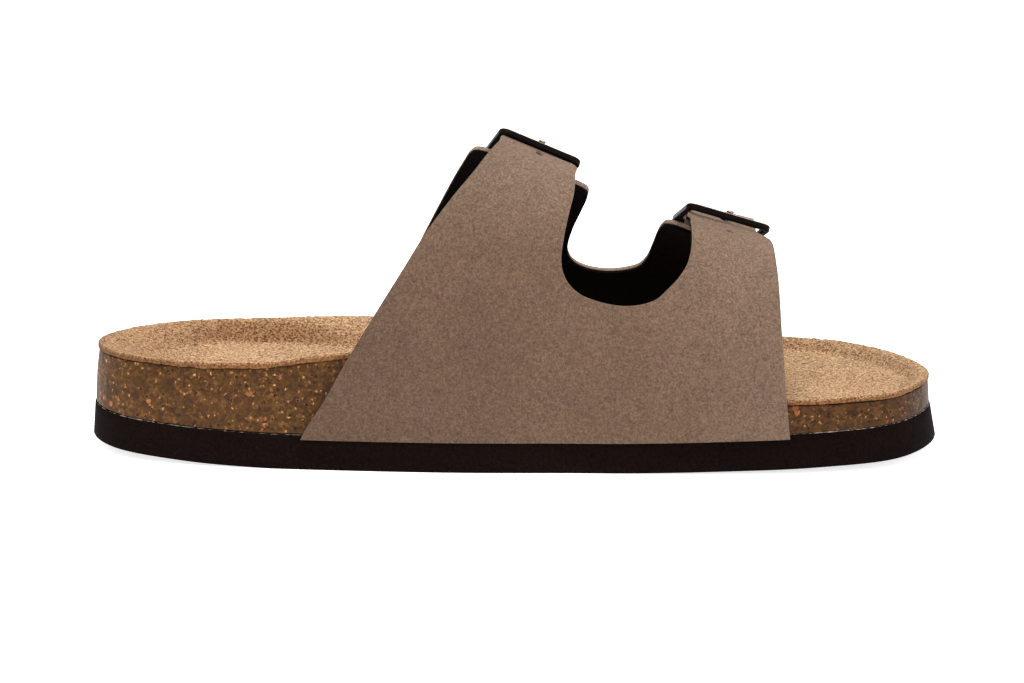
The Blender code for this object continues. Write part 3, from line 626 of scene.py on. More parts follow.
def coordinates(tree, scale=(1.0, 1.0, 1.0)):
    """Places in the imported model's frame, in metres, stretched by the scale."""
    source = add(tree, "ShaderNodeTexCoord")
    mapping = add(tree, "ShaderNodeMapping")
    mapping.inputs["Scale"].default_value = scale
    tree.links.new(source.outputs["Object"], mapping.inputs["Vector"])
    return mapping.outputs["Vector"]


def noise_node(tree, where, scale, detail=3.0, roughness=0.6, distortion=0.0):
    node = add(tree, "ShaderNodeTexNoise")
    node.inputs["Scale"].default_value = scale
    node.inputs["Detail"].default_value = detail
    node.inputs["Roughness"].default_value = roughness
    node.inputs["Distortion"].default_value = distortion
    tree.links.new(where, node.inputs["Vector"])
    return node


def ramp(tree, value, stops):
    """A colour ramp through (place, colour) stops; a colour may be one grey number."""
    node = add(tree, "ShaderNodeValToRGB")
    elements = node.color_ramp.elements
    while len(elements) < len(stops):
        elements.new(0.5)
    for element, (place, colour) in zip(elements, stops):
        element.position = place
        rgb = (colour,) * 3 if isinstance(colour, (int, float)) else colour
        element.color = (*rgb, 1.0)
    tree.links.new(value, node.inputs["Fac"])
    return node.outputs["Color"]


def mix(tree, factor, first, second, blend="MIX"):
    node = add(tree, "ShaderNodeMix", data_type="RGBA", blend_type=blend)
    for socket, value in ((node.inputs[0], factor), (node.inputs[6], first), (node.inputs[7], second)):
        if isinstance(value, bpy.types.NodeSocket):
            tree.links.new(value, socket)
        elif isinstance(value, (int, float)):
            socket.default_value = value
        else:
            socket.default_value = (*value, 1.0)
    return node.outputs[2]


def maths(tree, operation, first, second=0.0, third=0.0):
    node = add(tree, "ShaderNodeMath", operation=operation)
    for socket, value in zip(node.inputs, (first, second, third)):
        if isinstance(value, bpy.types.NodeSocket):
            tree.links.new(value, socket)
        else:
            socket.default_value = value
    return node.outputs[0]


def bump(tree, height, strength, distance, normal=None):
    node = add(tree, "ShaderNodeBump")
    node.inputs["Strength"].default_value = strength
    node.inputs["Distance"].default_value = distance
    tree.links.new(height, node.inputs["Height"])
    if normal is not None:
        tree.links.new(normal, node.inputs["Normal"])
    return node.outputs["Normal"]


def along_sole(tree, where):
    """Zero at the heel's end and one at the toe's."""
    place = add(tree, "ShaderNodeSeparateXYZ")
    tree.links.new(where, place.inputs["Vector"])
    return maths(tree, "MULTIPLY_ADD", place.outputs["X"], 1.0 / SOLE_LENGTH, 0.5)


def nubuck_material():
    """Taupe nubuck: crisp fine grain, soft cloudy patches and a short nap, with painted light that makes it
    lighter towards the top and towards the toe.
    """
    material, tree, shader = new_material("nubuck_taupe")
    where = coordinates(tree)
    speck = noise_node(tree, where, 1500.0, 2.0, 0.8)
    grain = noise_node(tree, where, 620.0, 3.0, 0.75)
    cloud = noise_node(tree, where, 55.0, 4.0, 0.6, 0.4)
    broad = noise_node(tree, coordinates(tree, (1.0, 1.0, 0.6)), 13.0, 2.0, 0.5)
    height = add(tree, "ShaderNodeSeparateXYZ")
    tree.links.new(where, height.inputs["Vector"])
    tones = ((0.30, (0.096, 0.0555, 0.0350)), (0.72, (0.110, 0.0650, 0.0420)))
    base = ramp(tree, broad.outputs["Fac"], tones)
    # Painted light: lighter towards the top, as where the light from above falls.
    high = maths(tree, "MULTIPLY", height.outputs["Z"], 9.0)
    rising = ((0.36, (0.85, 0.85, 0.83)), (0.63, (0.96, 0.97, 0.96)), (0.81, (1.225, 1.35, 1.42)))
    edge_wear_and_top_light = ramp(tree, high, rising)
    # Painted light: lighter towards the toe end, which turns to the light from the right.
    ahead = maths(tree, "MULTIPLY_ADD", height.outputs["X"], 6.0, 0.42)
    toeward = ((0.45, 1.0), (0.68, 1.09), (0.86, (1.22, 1.26, 1.33)), (0.93, (1.28, 1.34, 1.44)))
    painted_front_light = ramp(tree, ahead, toeward)
    colour = mix(tree, 1.0, mix(tree, 1.0, base, edge_wear_and_top_light, "MULTIPLY"), painted_front_light, "MULTIPLY")
    clouds = ramp(tree, cloud.outputs["Fac"], ((0.25, 0.91), (0.75, 1.10)))
    colour = mix(tree, 1.0, colour, clouds, "MULTIPLY")
    specks = ramp(tree, speck.outputs["Fac"], ((0.30, 0.56), (0.70, 1.44)))
    colour = mix(tree, 1.0, colour, specks, "MULTIPLY")
    grains = ramp(tree, grain.outputs["Fac"], ((0.28, 0.77), (0.72, 1.23)))
    colour = mix(tree, 1.0, colour, grains, "MULTIPLY")
    tree.links.new(colour, shader.inputs["Base Color"])
    relief = mix(tree, 0.5, speck.outputs["Fac"], grain.outputs["Fac"])
    tree.links.new(bump(tree, relief, 0.45, 0.00014), shader.inputs["Normal"])
    shader.inputs["Roughness"].default_value = 0.82
    shader.inputs["Specular IOR Level"].default_value = 0.18
    shader.inputs["Sheen Weight"].default_value = 0.12
    shader.inputs["Sheen Roughness"].default_value = 0.45
    shader.inputs["Sheen Tint"].default_value = (0.95, 0.86, 0.74, 1.0)
    return material


def cut_edge_material():
    """The raw cut edge of the nubuck: paler and more fibrous than its face."""
    material, tree, shader = new_material("leather_cut_edge")
    fibre = noise_node(tree, coordinates(tree), 1400.0, 3.0, 0.7)
    colour = ramp(tree, fibre.outputs["Fac"], ((0.25, (0.150, 0.096, 0.070)), (0.75, (0.300, 0.215, 0.165))))
    tree.links.new(colour, shader.inputs["Base Color"])
    tree.links.new(bump(tree, fibre.outputs["Fac"], 0.4, 0.00012), shader.inputs["Normal"])
    shader.inputs["Roughness"].default_value = 0.9
    shader.inputs["Specular IOR Level"].default_value = 0.2
    return material


def lining_material():
    """The near-black lining and the lower half of the cut edges."""
    material, tree, shader = new_material("lining_black_brown")
    nap = noise_node(tree, coordinates(tree), 900.0, 3.0, 0.7)
    tones = ((0.3, (0.0011, 0.0008, 0.0006)), (0.75, (0.0036, 0.0025, 0.0019)))
    colour = ramp(tree, nap.outputs["Fac"], tones)
    tree.links.new(colour, shader.inputs["Base Color"])
    tree.links.new(bump(tree, nap.outputs["Fac"], 0.4, 0.00015), shader.inputs["Normal"])
    shader.inputs["Roughness"].default_value = 0.95
    shader.inputs["Specular IOR Level"].default_value = 0.06
    return material


def suede_material(name, dark, light, speck_low):
    """Tan suede with a raised, granular nap, and painted shade that darkens it where its surface is steep."""
    material, tree, shader = new_material(name)
    where = coordinates(tree)
    nap = noise_node(tree, where, 1150.0, 3.0, 0.8, 0.3)
    tuft = noise_node(tree, coordinates(tree, (0.75, 1.3, 1.0)), 1700.0, 2.0, 0.8)
    patch = noise_node(tree, where, 60.0, 3.0, 0.6)
    half_nap = maths(tree, "MULTIPLY", nap.outputs["Fac"], 0.5)
    level = maths(tree, "MULTIPLY_ADD", tuft.outputs["Fac"], 0.5, half_nap)
    middle = tuple((a + b) / 2 for a, b in zip(dark, light))
    colour = ramp(tree, level, ((0.43, dark), (0.50, middle), (0.56, light)))
    patches = ramp(tree, patch.outputs["Fac"], ((0.25, 0.90), (0.75, 1.08)))
    colour = mix(tree, 1.0, colour, patches, "MULTIPLY")
    specks = ramp(tree, tuft.outputs["Fac"], ((0.30, speck_low), (0.42, 1.0)))
    colour = mix(tree, 1.0, colour, specks, "MULTIPLY")
    # Painted shade: steep walls, which face away from the light above, are darkened.
    face = add(tree, "ShaderNodeNewGeometry")
    steep = add(tree, "ShaderNodeSeparateXYZ")
    tree.links.new(face.outputs["Normal"], steep.inputs["Vector"])
    wall = ramp(tree, steep.outputs["Z"], ((0.74, (0.63, 0.55, 0.48)), (0.96, 1.0)))
    colour = mix(tree, 1.0, colour, wall, "MULTIPLY")
    ends = ((0.06, (0.77, 0.72, 0.68)), (0.17, 1.0), (0.75, 1.0), (0.92, (0.87, 0.88, 0.87)))
    colour = mix(tree, 1.0, colour, ramp(tree, along_sole(tree, where), ends), "MULTIPLY")
    tree.links.new(colour, shader.inputs["Base Color"])
    tree.links.new(bump(tree, level, 1.0, 0.0009), shader.inputs["Normal"])
    shader.inputs["Roughness"].default_value = 0.95
    shader.inputs["Specular IOR Level"].default_value = 0.1
    shader.inputs["Sheen Weight"].default_value = 0.10
    shader.inputs["Sheen Roughness"].default_value = 0.6
    shader.inputs["Sheen Tint"].default_value = (1.0, 0.86, 0.68, 1.0)
    return material


def cork_material():
    """Ground cork, dark and sealed with a clear coat: fine granules, orange flecks and dark pits."""
    material, tree, shader = new_material("cork_sealed")
    where = coordinates(tree)
    bend = noise_node(tree, where, 600.0, 3.0, 0.7)
    wander = add(tree, "ShaderNodeVectorMath", operation="MULTIPLY_ADD")
    tree.links.new(bend.outputs["Color"], wander.inputs[0])
    wander.inputs[1].default_value = (0.0022, 0.0022, 0.0022)
    tree.links.new(where, wander.inputs[2])
    spot = wander.outputs["Vector"]

    granule = add(tree, "ShaderNodeTexVoronoi")
    granule.inputs["Scale"].default_value = 900.0
    tree.links.new(spot, granule.inputs["Vector"])
    pick = add(tree, "ShaderNodeSeparateColor")
    tree.links.new(granule.outputs["Color"], pick.inputs["Color"])
    stops = (
        (0.00, (0.046, 0.0215, 0.0100)),
        (0.30, (0.064, 0.0295, 0.0105)),
        (0.60, (0.080, 0.0385, 0.0120)),
        (0.85, (0.098, 0.0470, 0.0145)),
        (1.00, (0.128, 0.0630, 0.0220)),
    )
    colour = ramp(tree, pick.outputs["Red"], stops)
    cloud = noise_node(tree, where, 240.0, 4.0, 0.7)
    clouds = ramp(tree, cloud.outputs["Fac"], ((0.30, 0.82), (0.70, 1.16)))
    colour = mix(tree, 1.0, colour, clouds, "MULTIPLY")
    fine = noise_node(tree, where, 1300.0, 2.0, 0.7)
    colour = mix(tree, 1.0, colour, ramp(tree, fine.outputs["Fac"], ((0.30, 0.72), (0.70, 1.28))), "MULTIPLY")

    for scale, share, radius, low, high in (
        (380.0, 0.82, 0.38, (0.16, 0.055, 0.018), (0.34, 0.130, 0.050)),
        (620.0, 0.73, 0.42, (0.15, 0.050, 0.016), (0.38, 0.155, 0.060)),
        (900.0, 0.72, 0.40, (0.18, 0.065, 0.020), (0.52, 0.280, 0.130)),
    ):
        fleck = add(tree, "ShaderNodeTexVoronoi")
        fleck.inputs["Scale"].default_value = scale
        tree.links.new(spot, fleck.inputs["Vector"])
        parts = add(tree, "ShaderNodeSeparateColor")
        tree.links.new(fleck.outputs["Color"], parts.inputs["Color"])
        chosen = maths(tree, "GREATER_THAN", parts.outputs["Red"], share)
        size = maths(tree, "MULTIPLY", parts.outputs["Green"], radius)
        near = maths(tree, "LESS_THAN", fleck.outputs["Distance"], size)
        tint = ramp(tree, parts.outputs["Blue"], ((0.0, low), (1.0, high)))
        colour = mix(tree, maths(tree, "MULTIPLY", chosen, near), colour, tint)

    pit = add(tree, "ShaderNodeTexVoronoi")
    pit.inputs["Scale"].default_value = 620.0
    tree.links.new(spot, pit.inputs["Vector"])
    chance = add(tree, "ShaderNodeSeparateColor")
    tree.links.new(pit.outputs["Color"], chance.inputs["Color"])
    deep = maths(tree, "LESS_THAN", pit.outputs["Distance"], 0.32)
    dark = maths(tree, "MULTIPLY", maths(tree, "GREATER_THAN", chance.outputs["Green"], 0.82), deep)
    colour = mix(tree, dark, colour, (0.024, 0.012, 0.007))
    shade = (
        (0.05, (0.93, 0.87, 0.82)),
        (0.50, (0.78, 0.69, 0.62)),
        (0.85, (0.69, 0.63, 0.63)),
        (0.97, (0.58, 0.53, 0.54)),
    )
    colour = mix(tree, 1.0, colour, ramp(tree, along_sole(tree, where), shade), "MULTIPLY")
    tree.links.new(colour, shader.inputs["Base Color"])

    swell = noise_node(tree, coordinates(tree, (1.0, 1.0, 0.35)), 260.0, 3.0, 0.6)
    normal = bump(tree, swell.outputs["Fac"], 0.55, 0.0007)
    normal = bump(tree, fine.outputs["Fac"], 0.25, 0.0002, normal)
    tree.links.new(normal, shader.inputs["Normal"])
    tree.links.new(normal, shader.inputs["Coat Normal"])
    shader.inputs["Roughness"].default_value = 0.55
    shader.inputs["Specular IOR Level"].default_value = 0.05
    shader.inputs["Coat Weight"].default_value = 0.09
    shader.inputs["Coat Roughness"].default_value = 0.20
    shader.inputs["Coat IOR"].default_value = 1.35
    return material


def rubber_material():
    """Black-brown foam rubber, matt and slightly uneven."""
    material, tree, shader = new_material("rubber_black_brown")
    where = coordinates(tree)
    pore = noise_node(tree, where, 1300.0, 3.0, 0.7)
    broad = noise_node(tree, coordinates(tree, (1.0, 1.0, 3.0)), 60.0, 3.0, 0.6)
    tones = ((0.3, (0.0052, 0.0026, 0.0020)), (0.7, (0.0074, 0.0038, 0.0030)))
    colour = ramp(tree, broad.outputs["Fac"], tones)
    specks = ramp(tree, pore.outputs["Fac"], ((0.3, 0.45), (0.7, 1.65)))
    colour = mix(tree, 1.0, colour, specks, "MULTIPLY")
    fade = ramp(tree, along_sole(tree, where), ((0.05, 0.75), (0.5, 0.9), (0.85, 0.58)))
    tree.links.new(mix(tree, 1.0, colour, fade, "MULTIPLY"), shader.inputs["Base Color"])
    tree.links.new(bump(tree, pore.outputs["Fac"], 0.3, 0.00012), shader.inputs["Normal"])
    shader.inputs["Roughness"].default_value = 0.75
    shader.inputs["Specular IOR Level"].default_value = 0.02
    return material


def metal_material(name, colour, roughness, metallic, level):
    """Lacquered or worn buckle metal."""
    material, tree, shader = new_material(name)
    smear = noise_node(tree, coordinates(tree), 500.0, 3.0, 0.6)
    dark = tuple(0.6 * c for c in colour)
    shade = ramp(tree, smear.outputs["Fac"], ((0.3, dark), (0.7, colour)))
    tree.links.new(shade, shader.inputs["Base Color"])
    rough = ramp(tree, smear.outputs["Fac"], ((0.3, 0.8 * roughness), (0.7, 1.3 * roughness)))
    tree.links.new(rough, shader.inputs["Roughness"])
    shader.inputs["Metallic"].default_value = metallic
    shader.inputs["Specular IOR Level"].default_value = level
    return material


def glue_material():
    """Dried whitish cement that shows as dots along the joint."""
    material, tree, shader = new_material("dried_cement")
    dots = noise_node(tree, coordinates(tree), 900.0, 2.0, 0.6)
    colour = ramp(tree, dots.outputs["Fac"], ((0.42, (0.045, 0.032, 0.024)), (0.68, (0.26, 0.23, 0.20))))
    tree.links.new(colour, shader.inputs["Base Color"])
    shader.inputs["Roughness"].default_value = 0.5
    return material


NUBUCK = nubuck_material()
CUT_EDGE = cut_edge_material()
LINING_DARK = lining_material()
SUEDE = suede_material("suede_tan", (0.145, 0.062, 0.022), (0.620, 0.390, 0.215), 0.50)
SUEDE_EDGE = suede_material("suede_cut_edge", (0.15, 0.060, 0.022), (0.40, 0.20, 0.085), 0.55)
CORK = cork_material()
RUBBER = rubber_material()
LACQUER = metal_material("buckle_lacquer", (0.004, 0.0026, 0.0022), 0.30, 0.0, 0.03)
COPPER = metal_material("buckle_worn_edge", (0.44, 0.30, 0.245), 0.40, 0.6, 0.4)
CEMENT = glue_material()


# Sole pieces


def make_outsole():
    floor_edge = station_outline()
    top_edge = station_outline(1.0)
    lift_edge = lift(floor_edge[:, 0])

    def under_height(points, depth):
        return lift(points[:, 0])

    def top_height(points, depth):
        return lift(points[:, 0]) + OUTSOLE_THICKNESS

    rounding = 0.00025
    under = rings_in(station_outline(0.0, 0.0, rounding), (0.0, 0.004, 0.012), under_height, 3)[::-1]
    side = []
    for share in (0.045, 0.25, 0.5, 0.75, 0.965):
        ring = floor_edge + (top_edge - floor_edge) * share
        side.append(np.column_stack([ring, lift_edge + OUTSOLE_THICKNESS * share]))
    top = rings_in(station_outline(1.0, 0.0, rounding), (0.0, 0.004, 0.012), top_height, 3)
    points, faces, _ = shell(under + side + top)
    outsole = mesh_object("outsole_rubber_sheet", points, faces, [RUBBER])

    cutters = bpy.data.collections.new("tread_grooves")
    count = int((SOLE_LENGTH - 4 * GROOVE_EDGE) / GROOVE_PITCH)
    first = (SOLE_LENGTH - (count - 1) * GROOVE_PITCH) / 2
    made = []
    for index in range(count):
        x = first + index * GROOVE_PITCH
        near = max(np.interp((x - GROOVE_WIDTH, x + GROOVE_WIDTH), *MEDIAL_SIDE.T)) + GROOVE_EDGE
        far = min(np.interp((x - GROOVE_WIDTH, x + GROOVE_WIDTH), *LATERAL_SIDE.T)) - GROOVE_EDGE
        build = bmesh.new()
        bmesh.ops.create_cube(build, size=1.0)
        size = Matrix.Diagonal((GROOVE_WIDTH, far - near, 2 * GROOVE_DEPTH, 1.0))
        place = Matrix.Translation(Vector((x, (near + far) / 2, float(lift(x)))) + Vector(SHIFT))
        bmesh.ops.transform(build, matrix=place @ size, verts=build.verts)
        data = bpy.data.meshes.new(f"groove_{index}")
        build.to_mesh(data)
        build.free()
        cutter = bpy.data.objects.new(f"groove_{index}", data)
        cutters.objects.link(cutter)
        made.append(cutter)
    cut = outsole.modifiers.new("tread", "BOOLEAN")
    cut.operation = "DIFFERENCE"
    cut.operand_type = "COLLECTION"
    cut.collection = cutters
    cut.solver = "EXACT"
    graph = bpy.context.evaluated_depsgraph_get()
    result = bpy.data.meshes.new_from_object(outsole.evaluated_get(graph))
    outsole.modifiers.clear()
    outsole.data = result
    result.set_sharp_from_angle(angle=math.radians(40.0))
    for cutter in made:
        bpy.data.objects.remove(cutter, do_unlink=True)
    ride(outsole, "outsole_rubber", "outsole")


def make_footbed():
    base_edge = station_outline(1.0, 0.0, CORK_LEDGE)
    rim_edge = station_outline(1.0, 1.0, CORK_LEDGE)
    base_z = lift(base_edge[:, 0]) + OUTSOLE_THICKNESS + 0.2 * SEAT_GAP

    def under_height(points, depth):
        return lift(points[:, 0]) + OUTSOLE_THICKNESS + 0.2 * SEAT_GAP

    def top_height(points, depth):
        bed = bed_shape(points, rim_edge, depth) - INSOLE_THICKNESS - SEAT_GAP
        return lift(points[:, 0]) + OUTSOLE_THICKNESS + bed

    under = rings_in(base_edge, (0.0008, 0.012), under_height, 2)[::-1]
    rim_z = top_height(rim_edge, np.zeros(AROUND))
    side = []
    for share in (0.02, 0.06, 0.14, 0.24, 0.35, 0.46, 0.57, 0.68, 0.79, 0.90, 0.975):
        ring = base_edge + (rim_edge - base_edge) * share
        belly = 0.0003 * math.sin(math.pi * share)
        ring = ring - (rim_edge - base_edge) / CORK_TAPER * belly
        points = np.column_stack([ring, base_z + (rim_z - base_z) * share])
        wobble = noise_field(points, 0.006, 3.0)
        points[:, :2] += (rim_edge - base_edge) / CORK_TAPER * (0.00014 * wobble)[:, None]
        side.append(points)
    top = rings_in(rim_edge, (0.0004, 0.004, 0.010, 0.018), top_height, 4)
    points, faces, _ = shell(under + side + top)
    footbed = mesh_object("footbed_cork_block", points, faces, [CORK])
    ride(footbed, "footbed_cork", "footbed")


def make_insole():
    rim_edge = station_outline(1.0, 1.0, CORK_LEDGE)
    out_edge = station_outline(1.0, 1.0, CORK_LEDGE - 0.0003)
    outward = (out_edge - rim_edge) / 0.0003
    rim_points = np.column_stack([rim_edge, np.zeros(AROUND)])
    wave = noise_field(rim_points, 0.020, 5.0, 2)
    ragged = noise_field(rim_points, 0.0022, 6.0, 2)

    def under_height(points, depth):
        bed = bed_shape(points, rim_edge, depth) - INSOLE_THICKNESS
        return lift(points[:, 0]) + OUTSOLE_THICKNESS + bed

    def top_height(points, depth):
        return under_height(points, depth) + INSOLE_THICKNESS

    under = rings_in(rim_edge, (0.0006, 0.006, 0.014), under_height, 3)[::-1]
    low_z = under_height(rim_edge, np.zeros(AROUND))
    side = []
    drop = 0.00018 + 0.00050 * wave.clip(-0.6, 1.0) + 0.00016 * ragged
    for share, out in ((0.0, 0.00010), (0.04, 0.00032), (0.35, 0.00036), (0.65, 0.00034), (0.86, 0.00020)):
        ring = rim_edge + outward * (out + 0.00010 * ragged)[:, None]
        z = low_z - drop * (1 - share) + INSOLE_THICKNESS * share
        side.append(np.column_stack([ring, z]))
    depths = np.concatenate([(0.00025, 0.0006), np.arange(0.0012, 0.0250, 0.00085)])
    top = rings_in(rim_edge, depths, top_height, 24)
    rings = under + side + top
    first_top = len(under) + len(side)
    generator = np.random.default_rng(11)
    for level in range(first_top - 2, len(rings) - 1):
        points = rings[level]
        nap = generator.uniform(-1.0, 1.0, AROUND)
        clump = noise_field(points, 0.0016, 9.0, 2)
        points[:, 2] += 0.00010 * nap + 0.00016 * clump
    points, faces, level_of = shell(rings)
    edge_faces = (level_of >= len(under) - 1) & (level_of < first_top - 2)
    insole = mesh_object("insole_suede_liner", points, faces, [SUEDE, SUEDE_EDGE], edge_faces, 180.0)
    ride(insole, "insole_suede", "insole")


def make_cement_line():
    """A thin, broken bead along the joint between cork and outsole."""
    edge = smooth_curve(station_outline(1.0, 0.0, 0.5 * CORK_LEDGE)[::4], 0.0006, closed=True)
    z = lift(edge[:, 0]) + OUTSOLE_THICKNESS + 0.00005
    centre = np.column_stack([edge, z])
    along = np.roll(centre, -1, axis=0) - np.roll(centre, 1, axis=0)
    along /= np.linalg.norm(along, axis=1, keepdims=True)
    side = np.cross(along, (0.0, 0.0, 1.0))
    up = np.cross(side, along)
    size = noise_field(centre, 0.0016, 21.0, 3)
    broad = noise_field(centre, 0.018, 22.0, 2)
    radius = np.clip(0.00007 + 0.00026 * size + 0.00016 * broad, 0.00001, 0.00034)
    turns = np.linspace(0, 2 * math.pi, 6, endpoint=False)
    rings = [centre + radius[:, None] * (math.cos(t) * side + 0.8 * math.sin(t) * up) for t in turns]
    points = np.stack(rings, axis=1).reshape(-1, 3)
    count, faces = len(centre), []
    for at in range(count):
        after = (at + 1) % count
        for turn in range(6):
            beside = (turn + 1) % 6
            corners = (at * 6 + turn, after * 6 + turn, after * 6 + beside, at * 6 + beside)
            faces.append(corners)
    line = mesh_object("cement_line", points, faces, [CEMENT])
    ride(line, "footbed_cork")


# Leather pieces


def inside(points, loop):
    found = np.zeros(len(points), bool)
    for start, end in zip(loop, np.roll(loop, -1, axis=0)):
        crosses = (start[1] > points[:, 1]) != (end[1] > points[:, 1])
        rise = end[1] - start[1]
        rise = rise if rise else 1e-12
        where = start[0] + (points[:, 1] - start[1]) * (end[0] - start[0]) / rise
        found ^= crosses & (points[:, 0] < where)
    return found


def clear_of(points, loop, distance):
    tree = KDTree(len(loop))
    for index, (x, y) in enumerate(loop):
        tree.insert((x, y, 0.0), index)
    tree.balance()
    return np.array([tree.find((x, y, 0.0))[2] > distance for x, y in points], bool)


def even_points(loop, step):
    low, high = loop.min(axis=0), loop.max(axis=0)
    rows = np.arange(low[1], high[1], step * math.sqrt(3) / 2)
    found = []
    for index, row in enumerate(rows):
        start = low[0] + (step / 2 if index % 2 else 0.0)
        columns = np.arange(start, high[0], step)
        found.append(np.column_stack([columns, np.full(len(columns), row)]))
    found = np.vstack(found)
    return found[inside(found, loop)]


def leather_panel(name, loop, holes, height_of):
    """A cut piece of leather with a round-shouldered, two-layer edge, laid on the last."""
    grid = even_points(loop, PANEL_STEP)
    grid = grid[clear_of(grid, loop, 0.7 * EDGE_STEP)]
    for hole in holes:
        grid = grid[~inside(grid, hole) & clear_of(grid, hole, 0.4 * EDGE_STEP)]
    edges, start = [], 0
    for ring in [loop, *holes]:
        count = len(ring)
        edges += [(start + index, start + (index + 1) % count) for index in range(count)]
        start += count
    rim_count = start
    points = np.vstack([loop, *holes, grid])
    flat = [Vector(point) for point in points]
    spots, _, triangles, origins, *_ = delaunay_2d_cdt(flat, edges, [], 0, 1e-7)
    spots, triangles = np.array(spots), np.array(triangles)
    centres = spots[triangles].mean(axis=1)
    keep = inside(centres, loop)
    for hole in holes:
        keep &= ~inside(centres, hole)
    triangles = triangles[keep]
    x, place = spots[:, 0], spots[:, 1] / GIRTH
    normal = last_normal(x, place)
    top = off_last(x, place, height_of(x, place))

    # The rim's rings, from the face over the round shoulder and the cut to the lining.
    where = {old: new for new, olds in enumerate(origins) for old in olds}
    inward = np.zeros_like(top)
    rim_index, start = [], 0
    for number, ring in enumerate([loop, *holes]):
        index = np.array([where[start + at] for at in range(len(ring))])
        start += len(ring)
        rim_index.append(index)
        ahead, behind = top[np.roll(index, -1)], top[np.roll(index, 1)]
        tangent = ahead - behind
        tangent /= np.linalg.norm(tangent, axis=1, keepdims=True)
        side = np.cross(normal[index], tangent)
        area = 0.5 * np.sum(ring[:, 0] * np.roll(ring[:, 1], -1) - np.roll(ring[:, 0], -1) * ring[:, 1])
        sign = 1.0 if area > 0 else -1.0
        inward[index] = side * sign * (1.0 if number == 0 else -1.0)
    mapping = normal.copy()
    face_top = top + inward * EDGE_ROUND
    face_under = top - mapping * LEATHER + inward * 0.6 * EDGE_ROUND
    vertices = [face_top, face_under]
    faces = [tuple(int(v) for v in tri) for tri in triangles]
    total = len(spots)
    faces += [tuple(int(v) + total for v in tri[::-1]) for tri in triangles]
    kinds = [0] * len(triangles) + [2] * len(triangles)
    used = 2 * total
    split = 1 - LINING / LEATHER
    profile = (
        (0.62, 0.10, 0),
        (0.25, 0.35, 0),
        (0.05, 0.80, 1),
        (0.0, split * LEATHER / EDGE_ROUND - 0.25, 1),
        (0.35, split * LEATHER / EDGE_ROUND, 1),
        (0.0, split * LEATHER / EDGE_ROUND + 0.30, 2),
        (0.0, LEATHER / EDGE_ROUND - 0.6, 2),
        (0.25, LEATHER / EDGE_ROUND - 0.15, 2),
    )
    for index in rim_index:
        count = len(index)
        rows = [index]
        for inset, depth, _ in profile:
            ring = top[index] - mapping[index] * depth * EDGE_ROUND + inward[index] * inset * EDGE_ROUND
            vertices.append(ring)
            rows.append(np.arange(used, used + count))
            used += count
        rows.append(index + total)
        levels = [0] + [kind for _, _, kind in profile]
        for level, (upper, lower) in enumerate(zip(rows[:-1], rows[1:])):
            for at in range(count):
                after = (at + 1) % count
                faces.append(tuple(int(v) for v in (upper[at], lower[at], lower[after], upper[after])))
                kinds.append(levels[level])
    panel = mesh_object(name, np.vstack(vertices), faces, [NUBUCK, CUT_EDGE, LINING_DARK], kinds, 60.0)
    build = bmesh.new()
    build.from_mesh(panel.data)
    bmesh.ops.delete(build, geom=[v for v in build.verts if not v.link_faces], context="VERTS")
    bmesh.ops.recalc_face_normals(build, faces=build.faces)
    build.to_mesh(panel.data)
    build.free()
    return panel


def to_pattern_plane(pattern):
    return np.asarray(pattern, float) * (1.0, GIRTH)


def edge_curve(rows):
    return smooth_curve(to_pattern_plane(np.array(rows) * (SOLE_LENGTH, 1.0)), EDGE_STEP)


def base_line(start_x, end_x, place):
    count = math.ceil(abs(end_x - start_x) / EDGE_STEP)
    x = np.linspace(start_x, end_x, count + 1)[1:-1]
    return to_pattern_plane(np.column_stack([x, np.full(len(x), place)]))


def tongue_loop(seat):
    half, full = TONGUE_WIDTH / 2, STRAP_WIDTH / 2
    end = seat.hinge + seat.tail
    side = np.arange(SHOULDER / 2, end - half - TONGUE_STEP / 2, TONGUE_STEP)
    turn = np.linspace(-math.pi / 2, math.pi / 2, 25)
    step_in = np.linspace(full, half, 4)[1:-1]
    tip = end - half + half * np.cos(turn)
    ones = np.full(len(step_in), -0.2 * SHOULDER)
    along = np.concatenate([[-SHOULDER], ones, side, tip, side[::-1], ones, [-SHOULDER]])
    sides = np.full(len(side), half)
    across = np.concatenate(
        [[-full], -step_in, -sides, half * np.sin(turn), sides, step_in[::-1], [full]]
    )
    return to_pattern_plane(seat.pattern(along, across))


def prong_slot(seat):
    half, reach = HOLE_WIDTH / 2, (HOLE_LENGTH - HOLE_WIDTH) / 2
    turn = np.linspace(0.0, 2 * math.pi, 20, endpoint=False)
    middle = HOLE_MIDDLE * seat.hinge
    along = middle + half * np.cos(turn) + np.where(np.cos(turn) > 0, reach, -reach)
    return to_pattern_plane(seat.pattern(along, half * np.sin(turn)))


def strap_hole(seat, along):
    """A round punched hole: one shows before the near bar, the others lie on the tail."""
    turn = np.linspace(0.0, 2 * math.pi, 14, endpoint=False)
    at = along if along < 0 else seat.hinge + along
    ring = seat.pattern(at + STRAP_HOLE / 2 * np.cos(turn), STRAP_HOLE / 2 * np.sin(turn))
    return to_pattern_plane(ring)


